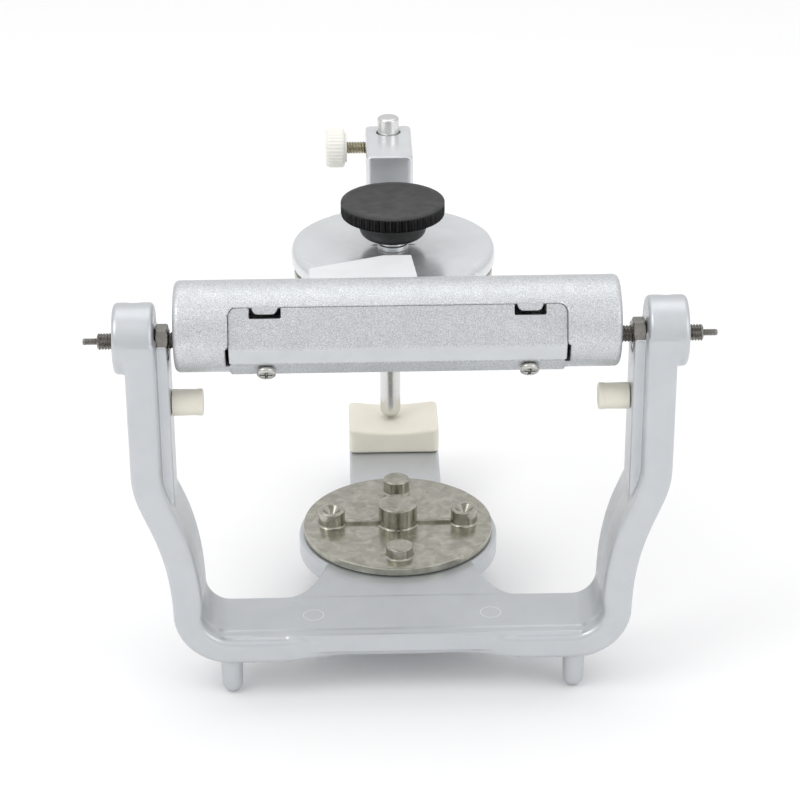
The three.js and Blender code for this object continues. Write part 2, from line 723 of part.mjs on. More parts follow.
function housingSolid() {
  const { radius, half, edge } = housing;
  const steps = 3;
  const rounding = [];
  for (let i = 0; i <= steps; i += 1) {
    const angle = (i * Math.PI) / (2 * steps);
    rounding.push([radius - edge + edge * Math.sin(angle), half - edge + edge * Math.cos(angle)]);
  }
  const farEnd = [[0, half], ...rounding];
  const nearEnd = farEnd.map(([r, x]) => [r, -x]).reverse();
  return tubeAxis(turned([...nearEnd.slice().reverse(), ...rounding.reverse(), [0, half]], 'x', 56));
}

// Bridge between the tube and the disc: cut off square on one side, and running out in a
// long slope on the other.
function bridgeSolid() {
  const tubeTop = housing.z + housing.radius;
  const profile = outline([
    [housing.y, -6], [16, -6], [22, discBottom], [bridge.end, 0], [bridge.end, 4], [bridge.far, bridge.top],
    [housing.y + 4, tubeTop - 0.7], [housing.y, housing.z],
  ]);
  return alongX(profile, bridge.left, bridge.right)
    .intersect(alongZ(outline(bridge.plan), -20, 30));
}

function neckSolid() {
  const plan = symmetric([[26, housing.y], ...bezierPoints(discNeck, 6), [10, plate.y]]);
  return alongZ(plan, discBottom, disc.top);
}

function discSolid() {
  const { radius, top } = disc;
  return turned([
    [0, discBottom], [radius - 1.2, discBottom], [radius, discBottom + 1.2],
    [radius, top - 1.6], [radius - 0.5, top - 0.5], [radius - 1.8, top], [0, top],
  ], 'z', 52).translate([0, plate.y, 0]);
}

// The arm behind the disc, and the block at its end that holds the incisal pin.
function armSolid() {
  const { near, far, top, bottom, edge, halfWidth } = pinBlock;
  const side = outline([
    [plate.y, discBottom], [plate.y + plate.radius + 4, discBottom], [far, bottom],
    [far, top - edge], [far - edge, top], [near + edge, top], [near, top - edge],
    [near - edge, disc.top - 0.4], [plate.y, disc.top - 0.4],
  ]);
  const front = roundedRectangle(-halfWidth, halfWidth, -20, top, edge);
  return alongX(side, -halfWidth, halfWidth).intersect(alongY(front, plate.y - 5, far + 10));
}

function upperFrame() {
  const collar = bar(disc.collar, disc.top - 1, disc.collarTop, 'z', 28).translate([0, plate.y, 0]);
  const strip = tubeAxis(alongX(polygon([
    fold.bottom, fold.lip, towardsCentre(fold.lip, lipDepth), towardsCentre(fold.bottom, lipDepth),
  ]), -cover.half, cover.half));
  const solids = [
    housingSolid(), strip, bridgeSolid(), neckSolid(), discSolid(), collar, armSolid(),
  ];

  const boreHalf = housing.half - housing.wall;
  const bore = tubeAxis(bar(housing.bore, -boreHalf, boreHalf, 'x', 40));
  const pocket = tubeAxis(alongX(coverSection(gap, 4), -cover.half - gap, cover.half + gap));
  const lipSection = polygon([
    fold.bottom, fold.lip, towardsCentre(fold.lip, -3), towardsCentre(fold.bottom, -3),
  ]);
  const lipCut = tubeAxis(alongX(lipSection, -cover.half, cover.half));
  const tools = [bore, pocket, lipCut];
  const slotHalf = spindle.thread + gap;
  for (const [, side] of sides) {
    const slot = alongX(channelShape(slotHalf, slotHalf, slotHalf + path.travel),
      boreHalf - 2, housing.half + 2, 8);
    tools.push(onSide(inPathFrame(slot), side));
  }
  tools.push(bar(clamp.radius + gap, -10, 20, 'z', 24).translate([0, plate.y, 0]));
  tools.push(bar(pin.radius + gap, -20, 40, 'z', 36).translate([0, pin.y, 0]));
  tools.push(bar(thumb.thread + gap, -20, 0, 'x', 24).translate([0, pin.y, thumb.z]));
  const hollow = cut(joined(solids), tools);

  const fittings = [];
  const screwHoles = [];
  for (const x of [-catchX, catchX]) {
    const tongue = blockOnFlat(x, notch.half - notch.side, -2, notch.depth - notch.under,
      -cover.thickness, 0);
    fittings.push(tubeAxis(tongue.intersect(bar(housing.radius, -housing.half, housing.half, 'x', 56))));
    fittings.push(onLip(bar(coverScrewDims.boss, -4.5, -0.9, 'z', 20), x));
    screwHoles.push(onLip(bar(coverScrewDims.shank + gap, -8, 4, 'z', 20), x));
  }
  return cut(joined([hollow, ...fittings]), screwHoles);
}
addPiece(upper, 'upper_frame', upperFrame(), finish.grainySilver);

function coverSolid() {
  const sheet = alongX(coverSection(0, 0), -cover.half, cover.half);
  const notches = [-catchX, catchX].map(
    (x) => blockOnFlat(x, notch.half, -2, notch.depth, -3, 2));
  return tubeAxis(cut(sheet, notches));
}
addPiece(upper, 'housing_cover', coverSolid(), finish.grainySilver);

function coverScrew(x) {
  const { head, shank, length, recess, slot } = coverScrewDims;
  const pan = turned([
    [0, gap], [head, gap], [head, 1.1], [head - 0.45, 1.8], [shank, 2.2], [0, 2.3],
  ], 'z', 20);
  const stem = bar(shank, -length, gap + 0.1, 'z', 20, 0.3);
  const cross = [
    box(-recess, recess, -slot, slot, 1.1, 3),
    box(-slot, slot, -recess, recess, 1.1, 3),
  ];
  return onLip(cut(pan.add(stem), cross), x);
}
for (const [name, side] of sides) {
  addPiece(upper, `cover_screw_${name}`, coverScrew(side * catchX), finish.steel);
}

// ---------------------------------------------------------------- upper mounting plate and knob
const upperPlate = mountingPlate().rotate([180, 0, 0]).translate([0, plate.y, discBottom - gap]);
addPiece(upper, 'upper_mounting_plate', upperPlate, finish.nickel);

function upperKnob() {
  const { radius, top, hub, seat } = knob;
  const rimBottom = top - knob.rim;
  const rim = alongZ(ribbedOutline(radius, knurlDepth, knob.ribs), rimBottom, top - 0.5);
  const crown = turned([
    [0, top - 1], [radius - 0.5, top - 1], [radius - 0.5, top - 0.3],
    [radius - 1, top], [radius - 2, top - 0.1], [0, top - 0.6],
  ], 'z', 40);
  const stem = turned([
    [0, seat], ...hubProfile.map(([r, up]) => [r, seat + up]),
    [hub, rimBottom + overlap], [0, rimBottom + overlap],
  ], 'z', 32);
  const bore = bar(clamp.radius + gap, seat - 1, seat + 7, 'z', 20);
  return cut(joined([rim, crown, stem]), [bore]).translate([0, plate.y, 0]);
}
addPiece(upper, 'upper_clamp_knob', upperKnob(), finish.blackPlastic);

const washerTop = knob.seat - gap;
const washer = bar(washerDims.radius, washerTop - washerDims.thickness, washerTop, 'z', 32, 0.2)
  .subtract(bar(clamp.radius + gap, 0, 20, 'z', 20))
  .translate([0, plate.y, 0]);
addPiece(upper, 'clamp_washer', washer, finish.chrome);

const screwFrom = -5; // inside the plate's centre stud
const upperScrew = clampScrew(knob.seat + 6.4 - screwFrom).translate([0, plate.y, screwFrom]);
addPiece(upper, 'upper_clamp_screw', upperScrew, finish.steel);

// ---------------------------------------------------------------- incisal pin and thumb screw
function incisalPin() {
  const tip = frame.deck + gap + table.height - table.dish - table.dimple + gap;
  return turned([
    [0, tip], [0.85, tip + 0.1], [pin.radius - 0.5, tip + 1.7], [pin.radius, tip + 2.8],
    [pin.radius, pin.top - 0.4], [pin.radius - 0.4, pin.top], [0, pin.top],
  ], 'z', 32).translate([0, pin.y, 0]);
}
addPiece(upper, 'incisal_pin', incisalPin(), finish.chrome);

function thumbHead() {
  const { radius, from, to, collar, flutes } = thumb;
  const shoulder = from + 0.7;
  const wheel = alongX(ribbedOutline(radius, 0.25, flutes), shoulder, to);
  const crown = turned([
    [0, from], [collar, from], [collar + 0.1, shoulder], [radius - 0.7, shoulder],
    [radius + 0.1, shoulder + 0.7], [radius + 0.1, to - 1.2], [radius - 0.9, to], [0, to],
  ], 'x', 32);
  const neck = bar(collar, from, shoulder + 0.1, 'x', 32);
  const bore = bar(thumb.thread + gap, from - 1, to - 1.5, 'x', 24);
  return cut(wheel.intersect(crown).add(neck), [bore]);
}

function placeThumb(manifold) {
  return mirrored(manifold).translate([0, pin.y, thumb.z]);
}
addPiece(upper, 'thumb_screw_head', placeThumb(thumbHead()), finish.whitePlastic);
const thumbStud = bar(thumb.thread, pin.radius + gap, thumb.to - 1.8, 'x', 24, 0.4);
addPiece(upper, 'thumb_screw_stud', placeThumb(thumbStud), finish.steel);

articulator.position.set(0, -(frame.near + arm.end) / 2, axisHeight);
export default articulator;
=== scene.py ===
"""Looks for the dental articulator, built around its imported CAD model.

Shapes are worked out in millimetres from the hinge axis (+X right, +Y to the incisal pin, +Z up) as
distance fields with rounded edges, or as turned profiles, and are placed in metres in the row frame.
"""
import json
import math

import bmesh
import bpy
import numpy as np
from mathutils import Matrix, Vector


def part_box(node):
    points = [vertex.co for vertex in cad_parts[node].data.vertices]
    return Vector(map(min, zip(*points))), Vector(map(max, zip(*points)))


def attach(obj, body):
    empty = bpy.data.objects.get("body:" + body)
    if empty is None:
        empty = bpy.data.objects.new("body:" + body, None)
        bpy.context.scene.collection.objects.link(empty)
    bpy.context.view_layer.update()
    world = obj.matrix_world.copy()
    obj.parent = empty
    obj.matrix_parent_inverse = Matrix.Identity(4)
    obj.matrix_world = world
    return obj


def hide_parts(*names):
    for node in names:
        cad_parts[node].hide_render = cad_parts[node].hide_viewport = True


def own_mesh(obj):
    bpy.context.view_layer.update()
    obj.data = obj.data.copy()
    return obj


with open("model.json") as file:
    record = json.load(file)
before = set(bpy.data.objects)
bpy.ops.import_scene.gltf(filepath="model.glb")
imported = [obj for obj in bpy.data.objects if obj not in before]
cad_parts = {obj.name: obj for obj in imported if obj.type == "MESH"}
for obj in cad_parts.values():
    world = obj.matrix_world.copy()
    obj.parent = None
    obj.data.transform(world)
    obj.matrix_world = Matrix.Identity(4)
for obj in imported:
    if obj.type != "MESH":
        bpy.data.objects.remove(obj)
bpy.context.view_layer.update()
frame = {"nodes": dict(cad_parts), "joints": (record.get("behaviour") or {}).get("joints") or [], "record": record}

MM = 0.001
joint_at = {j["name"]: j.get("pos_m") for j in frame["joints"]}
HINGE = np.array(joint_at["upper_opening"])
UPPER_SHIFT = joint_at["upper_clamp_turn"][0] / MM
CELL_SCALE = 1.0
SIDES = (("left", -1), ("right", 1))


def row_mm(node):
    """A CAD node's box in millimetres from the hinge axis: low corner, high corner."""
    low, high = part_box(node)
    return (np.array(low) - HINGE) / MM, (np.array(high) - HINGE) / MM


FLOOR = -HINGE[2] / MM
PLATE_Y = (joint_at["upper_clamp_turn"][1] - HINGE[1]) / MM
PIN_Y = (joint_at["thumb_screw_turn"][1] - HINGE[1]) / MM
THUMB_Z = (joint_at["thumb_screw_turn"][2] - HINGE[2]) / MM

# ---------------------------------------------------------------- distance fields
# Each takes arrays of coordinates in millimetres and gives distances, negative inside.


def rounded_box2(u, v, half_u, half_v, radius):
    """A rectangle with round corners."""
    qu = np.abs(u) - half_u + radius
    qv = np.abs(v) - half_v + radius
    outside = np.hypot(np.maximum(qu, 0), np.maximum(qv, 0))
    return outside + np.minimum(np.maximum(qu, qv), 0) - radius


def both(a, b, radius=0.0):
    """Intersection of two solids, with the edge between them rounded."""
    if np.isscalar(radius) and radius == 0:
        return np.maximum(a, b)
    beyond = np.hypot(np.maximum(a + radius, 0), np.maximum(b + radius, 0))
    return np.minimum(np.maximum(a, b), -radius) + beyond


def either(a, b, radius=0.0):
    """Union of two solids, with a fillet of that radius between them."""
    return -both(-a, -b, radius)


def without(a, b, radius=0.0):
    """Solid a with b cut from it."""
    return both(a, -b, radius)


def slab(w, low, high):
    """Everything between two parallel planes."""
    return np.abs(w - (low + high) / 2) - (high - low) / 2


def rod(u, v, w, radius, low, high, edge=0.0):
    """A round bar along w with rounded ends."""
    return both(np.hypot(u, v) - radius, slab(w, low, high), edge)


def turned_by(angle, y, z):
    """Coordinates along and across a direction that leans by angle about X."""
    return y * math.cos(angle) - z * math.sin(angle), y * math.sin(angle) + z * math.cos(angle)


def past_point(u, v, origin, direction):
    """How far each point lies past origin in that direction."""
    return (u - origin[0]) * direction[0] + (v - origin[1]) * direction[1]


def hexagon(u, v, half_flats, turn=0.0):
    """A hexagon with its flats half_flats from the middle, turned by that many half turns."""
    flats = []
    for i in range(3):
        angle = math.pi * (i / 3 + turn)
        flats.append(np.abs(u * math.cos(angle) + v * math.sin(angle)) - half_flats)
    return np.maximum.reduce(flats)


def polygon(u, v, corners):
    """Distance to a closed outline in a plane."""
    nearest = np.full(u.shape, 1e12)
    inside = np.zeros(u.shape, bool)
    for (x0, y0), (x1, y1) in zip(corners, corners[1:] + corners[:1]):
        ex, ey = x1 - x0, y1 - y0
        wx, wy = u - x0, v - y0
        t = np.clip((wx * ex + wy * ey) / (ex * ex + ey * ey), 0, 1)
        dx, dy = wx - ex * t, wy - ey * t
        nearest = np.minimum(nearest, dx * dx + dy * dy)
        if ey != 0:
            spans = (y0 <= v) != (y1 <= v)
            inside ^= spans & (wx < ex * wy / ey)
    distance = np.sqrt(nearest)
    return np.where(inside, -distance, distance)


def smooth_step(t):
    t = np.clip(t, 0, 1)
    return t * t * (3 - 2 * t)


def bezier(p0, p1, p2, p3, steps):
    """Points along a cubic curve, both ends included."""
    points = []
    for i in range(steps + 1):
        t = i / steps
        a, b, c, d = (1 - t) ** 3, 3 * t * (1 - t) ** 2, 3 * t * t * (1 - t), t ** 3
        points.append((a * p0[0] + b * p1[0] + c * p2[0] + d * p3[0],
                       a * p0[1] + b * p1[1] + c * p2[1] + d * p3[1]))
    return points


# ---------------------------------------------------------------- surfaces from fields
BLOCK = 8  # cells along each side of a block
BLOCKS_AT_ONCE = 250
MARGIN = 1.3  # cells kept clear round a field
CORNERS = [(i, j, k) for i in (0, 1) for j in (0, 1) for k in (0, 1)]
EDGES = [(a, b) for a in range(8) for b in range(a + 1, 8)
         if sum(abs(x - y) for x, y in zip(CORNERS[a], CORNERS[b])) == 1]


def gradient(field, points, step):
    """The slope of a field at points, from four samples in a tetrahedron round each."""
    total = np.zeros_like(points)
    for sign in ((1, 1, 1), (1, -1, -1), (-1, 1, -1), (-1, -1, 1)):
        offset = np.array(sign, float)
        total += field(points + offset * step)[:, None] * offset
    return total / (4 * step)


def by_chunks(function, points, size=200_000):
    """A function of many points, worked out on some of them at a time."""
    return np.concatenate([function(points[i:i + size]) for i in range(0, len(points), size)])


def surface_of(field, low, high, cell):
    """Vertices and four-sided faces of a field's zero surface, on a grid of that cell size."""
    low = np.array(low, float) - MARGIN * cell
    counts = np.ceil((np.array(high) + MARGIN * cell - low) / (cell * BLOCK)).astype(int)
    index = np.stack(np.meshgrid(*[np.arange(n) for n in counts], indexing="ij"), -1).reshape(-1, 3)
    centres = low + (index + 0.5) * BLOCK * cell
    near = np.abs(by_chunks(field, centres)) < BLOCK * cell
    blocks = index[near]
    side = np.arange(BLOCK + 1)
    offsets = np.stack(np.meshgrid(side, side, side, indexing="ij"), -1)
    size = counts * BLOCK + 2

    def key(cells):
        return (cells[..., 0] * size[1] + cells[..., 1]) * size[2] + cells[..., 2]

    keys, places, quads = [], [], []
    for start in range(0, len(blocks), BLOCKS_AT_ONCE):
        group = blocks[start:start + BLOCKS_AT_ONCE]
        grid = group[:, None, None, None] * BLOCK + offsets
        values = field((low + grid * cell).reshape(-1, 3)).reshape(grid.shape[:-1])
        inside = values < 0
        n = BLOCK
        corner_values = [values[:, i:i + n, j:j + n, k:k + n] for i, j, k in CORNERS]
        summed = np.zeros(corner_values[0].shape + (3,))
        hits = np.zeros(corner_values[0].shape)
        for a, b in EDGES:
            va, vb = corner_values[a], corner_values[b]
            crossing = (va < 0) != (vb < 0)
            t = np.where(crossing, va / np.where(crossing, va - vb, 1), 0)
            for axis in range(3):
                along = CORNERS[b][axis] - CORNERS[a][axis]
                summed[..., axis] += np.where(crossing, CORNERS[a][axis] + along * t, 0)
            hits += crossing
        active = hits > 0
        cells = grid[:, :n, :n, :n][active]
        keys.append(key(cells))
        places.append(low + (cells + summed[active] / hits[active][:, None]) * cell)
        for axis in range(3):
            shifted = [slice(None)] + [slice(0, n)] * 3
            shifted[axis + 1] = slice(1, n + 1)
            a = inside[:, :n, :n, :n]
            b = inside[tuple(shifted)]
            u, v = [(1, 2), (2, 0), (0, 1)][axis]
            step_u, step_v = np.eye(3, dtype=int)[u], np.eye(3, dtype=int)[v]
            for turned_in in (True, False):
                edge = grid[:, :n, :n, :n][(a != b) & (a == turned_in)]
                ring = [edge - step_u - step_v, edge - step_v, edge, edge - step_u]
                if not turned_in:
                    ring.reverse()
                quads.append(np.stack([key(c) for c in ring], -1))
    keys, places, quads = np.concatenate(keys), np.concatenate(places), np.concatenate(quads)
    order = np.argsort(keys)
    keys, places = keys[order], places[order]
    faces = np.searchsorted(keys, quads)
    faces = faces[np.all(keys[np.minimum(faces, len(keys) - 1)] == quads, axis=1)]

    def onto_surface(points):
        """Moves points along the slope to where the field is zero, by less than half a cell."""
        distance = field(points)
        slope = gradient(field, points, cell * 0.12)
        length = np.maximum((slope ** 2).sum(1), 0.25)
        move = slope * (distance / length)[:, None]
        limit = np.maximum(np.sqrt((move ** 2).sum(1)) / (0.4 * cell), 1)
        return points - move / limit[:, None]

    for _ in range(3):
        places = by_chunks(onto_surface, places)
    return places, faces


def add_mesh(name, points_mm, faces, body, slot, stands_for, normals=None, finish=None, degrees=None):
    """Makes a piece from points in millimetres from the hinge axis.

    finish names a material other than the slot's own. Edges sharper than degrees stay crisp."""
    mesh = bpy.data.meshes.new(name)
    points = np.asarray(points_mm) * MM + HINGE
    mesh.from_pydata(points.tolist(), [], [list(map(int, f)) for f in faces])
    mesh.validate()
    mesh.polygons.foreach_set("use_smooth", np.ones(len(mesh.polygons), bool))
    if normals is not None and len(normals) == len(mesh.vertices):
        mesh.normals_split_custom_set_from_vertices(normals.tolist())
    piece = bpy.data.objects.new(name, mesh)
    bpy.context.scene.collection.objects.link(piece)
    mesh.materials.append(MATERIALS[finish or slot])
    if degrees:
        mesh.set_sharp_from_angle(angle=math.radians(degrees))
    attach(piece, body)
    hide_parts(*stands_for)
    return piece


def add_field(name, field, low, high, cell, body, slot, stands_for, finish=None):
    """Makes a piece from a distance field, with the field's own normals."""
    points, faces = surface_of(field, low, high, cell * CELL_SCALE)

    def slopes(p):
        g = gradient(field, p, 0.12)
        return g / np.maximum(np.sqrt((g ** 2).sum(1)), 1e-9)[:, None]

    return add_mesh(name, points, faces, body, slot, stands_for, by_chunks(slopes, points), finish)


def turned_shell(profile, axis, centre, segments=96, shape=None):
    """Points and faces of a solid turned about the x or z axis.

    profile is (radius, distance along the axis) from end to end. shape(radius, angle, along) may
    change a radius, for ribs, flutes and threads."""
    points, faces, rows = [], [], []
    for radius, along in profile:
        if radius < 1e-6:
            rows.append([len(points)])
            points.append((0.0, 0.0, along))
            continue
        ring = []
        for i in range(segments):
            angle = 2 * math.pi * i / segments
            r = shape(radius, angle, along) if shape else radius
            ring.append(len(points))
            points.append((r * math.cos(angle), r * math.sin(angle), along))
        rows.append(ring)
    for a, b in zip(rows, rows[1:]):
        for i in range(segments):
            j = (i + 1) % segments
            if len(a) == 1:
                faces.append((a[0], b[j], b[i]))
            elif len(b) == 1:
                faces.append((a[i], a[j], b[0]))
            else:
                faces.append((a[i], a[j], b[j], b[i]))
    points = np.array(points)
    if axis == "x":
        points = points[:, [2, 0, 1]]
    if profile[-1][1] < profile[0][1]:
        faces = [face[::-1] for face in faces]
    return points + np.array(centre), faces


def add_shells(name, shells, body, slot, stands_for, degrees, finish=None):
    """One piece from several closed shells."""
    points, faces = [], []
    for shell_points, shell_faces in shells:
        start = sum(len(p) for p in points)
        points.append(shell_points)
        faces += [tuple(i + start for i in face) for face in shell_faces]
    return add_mesh(name, np.concatenate(points), faces, body, slot, stands_for, None, finish, degrees)


def add_turned(name, profile, axis, centre, body, slot, stands_for, segments=96, shape=None,
               finish=None, degrees=None):
    """A piece turned about an axis through centre."""
    points, faces = turned_shell(profile, axis, centre, segments, shape)
    return add_mesh(name, points, faces, body, slot, stands_for, None, finish, degrees)


def box_shell(low, high, edge):
    """A box with rounded edges."""
    made = bmesh.new()
    bmesh.ops.create_cube(made, size=1.0)
    for vertex in made.verts:
        for axis in range(3):
            vertex.co[axis] = low[axis] if vertex.co[axis] < 0 else high[axis]
    bmesh.ops.bevel(made, geom=made.edges[:], offset=edge, segments=3, profile=0.5, affect="EDGES")
    made.verts.index_update()
    points = np.array([tuple(v.co) for v in made.verts])
    faces = [tuple(v.index for v in f.verts) for f in made.faces]
    made.free()
    return points, faces


def rounded_profile(corners, steps=4):
    """A profile to turn, from corners (radius, along) or (radius, along, fillet)."""
    out = []
    for i, corner in enumerate(corners):
        r, a = corner[0], corner[1]
        fillet = corner[2] if len(corner) > 2 else 0
        if not fillet or i in (0, len(corners) - 1):
            out.append((r, a))
            continue
        before, after = np.array(corners[i - 1][:2]), np.array(corners[i + 1][:2])
        here = np.array((r, a))
        d0, d1 = before - here, after - here
        l0, l1 = np.linalg.norm(d0), np.linalg.norm(d1)
        cut = min(fillet, 0.49 * l0, 0.49 * l1)
        p0, p1 = here + d0 / l0 * cut, here + d1 / l1 * cut
        for k in range(steps + 1):
            t = k / steps
            p = (1 - t) ** 2 * p0 + 2 * t * (1 - t) * here + t * t * p1
            out.append((max(float(p[0]), 0.0), float(p[1])))
    return out


# ---------------------------------------------------------------- materials
def new_material(name, colour, roughness, metallic=0.0, **more):
    """A material with mottled colour, varied roughness and a fine grain in relief."""
    material = bpy.data.materials.new(name)
    material.use_nodes = True
    tree = material.node_tree
    nodes, links = tree.nodes, tree.links
    shader = nodes["Principled BSDF"]
    shader.inputs["Metallic"].default_value = metallic
    if "coat" in more:
        shader.inputs["Coat Weight"].default_value = more["coat"]
        shader.inputs["Coat Roughness"].default_value = more.get("coat_roughness", 0.2)
    if "specular" in more:
        shader.inputs["Specular IOR Level"].default_value = more["specular"]
    coordinates = nodes.new("ShaderNodeTexCoord")

    def noise(size_mm, detail=3.0, distortion=0.0, stretch=(1, 1, 1)):
        mapping = nodes.new("ShaderNodeMapping")
        mapping.inputs["Scale"].default_value = stretch
        links.new(coordinates.outputs["Object"], mapping.inputs["Vector"])
        texture = nodes.new("ShaderNodeTexNoise")
        texture.inputs["Scale"].default_value = 1 / (size_mm * MM)
        texture.inputs["Detail"].default_value = detail
        texture.inputs["Distortion"].default_value = distortion
        links.new(mapping.outputs["Vector"], texture.inputs["Vector"])
        return texture.outputs["Fac"]

    def spread(value, low, high):
        remap = nodes.new("ShaderNodeMapRange")
        remap.inputs["From Min"].default_value = 0.3
        remap.inputs["From Max"].default_value = 0.7
        remap.inputs["To Min"].default_value = low
        remap.inputs["To Max"].default_value = high
        links.new(value, remap.inputs["Value"])
        return remap.outputs["Result"]

    def blended(factor, first, second):
        mix = nodes.new("ShaderNodeMix")
        mix.data_type = "RGBA"
        if isinstance(factor, float):
            mix.inputs["Factor"].default_value = factor
        else:
            links.new(factor, mix.inputs["Factor"])
        for socket, value in ((mix.inputs[6], first), (mix.inputs[7], second)):
            if isinstance(value, tuple):
                socket.default_value = (*value, 1)
            else:
                links.new(value, socket)
        return mix.outputs[2]

    def beyond(axis, start, end):
        """0 before start and 1 past end along an axis, in millimetres of the row frame."""
        parts = nodes.new("ShaderNodeSeparateXYZ")
        links.new(coordinates.outputs["Object"], parts.inputs["Vector"])
        remap = nodes.new("ShaderNodeMapRange")
        remap.inputs["From Min"].default_value = start * MM
        remap.inputs["From Max"].default_value = end * MM
        links.new(parts.outputs[axis], remap.inputs["Value"])
        return remap.outputs["Result"]

    def scaled_by(value, factor, share):
        """value where factor is 0, value times share where factor is 1."""
        amount = nodes.new("ShaderNodeMapRange")
        amount.inputs["To Min"].default_value = 1.0
        amount.inputs["To Max"].default_value = share
        links.new(factor, amount.inputs["Value"])
        product = nodes.new("ShaderNodeMath")
        product.operation = "MULTIPLY"
        if isinstance(value, float):
            product.inputs[0].default_value = value
        else:
            links.new(value, product.inputs[0])
        links.new(amount.outputs["Result"], product.inputs[1])
        return product.outputs["Value"]

    dark = more.get("dark", tuple(c * 0.86 for c in colour))
    mottle = spread(noise(more.get("mottle_mm", 9), 4, 0.6), 0, 1)
    tone = blended(mottle, dark, colour)
    grain_mm = more.get("grain_mm", 0.25)
    speckle = spread(noise(grain_mm, 2), 0, 1)
    speck_dark = tuple(c * (1 - more.get("speckle", 0.06)) for c in colour)
    speckled = blended(speckle, speck_dark, tone)
    share = more.get("speckle_share", 0.5)
    sleek = beyond(*more["sleek"]) if "sleek" in more else None
    if sleek:
        share = scaled_by(share, sleek, 0.05)
    tone = blended(share, tone, speckled)
    if sleek:
        tone = blended(sleek, tone, blended(mottle, more["sleek_dark"], more["sleek_colour"]))
    links.new(tone, shader.inputs["Base Color"])
    rough = spread(noise(more.get("rough_mm", 3), 3, 0.3), roughness * 0.85, roughness * 1.2)
    if sleek:
        rough = scaled_by(rough, sleek, more.get("sleek_rough", 0.5))
    links.new(rough, shader.inputs["Roughness"])
    bump = nodes.new("ShaderNodeBump")
    bump.inputs["Strength"].default_value = more.get("bump", 0.25)
    bump.inputs["Distance"].default_value = more.get("relief_mm", 0.03) * MM
    if sleek:
        links.new(scaled_by(more.get("bump", 0.25), sleek, 0.03), bump.inputs["Strength"])
    relief = noise(grain_mm, 3, 0.0, more.get("stretch", (1, 1, 1)))
    links.new(relief, bump.inputs["Height"])
    wave = nodes.new("ShaderNodeBump")
    wave.inputs["Strength"].default_value = more.get("wave", 0.1)
    wave.inputs["Distance"].default_value = 0.1 * MM
    links.new(noise(more.get("wave_mm", 6), 2), wave.inputs["Height"])
    links.new(bump.outputs["Normal"], wave.inputs["Normal"])
    links.new(wave.outputs["Normal"], shader.inputs["Normal"])
    return material


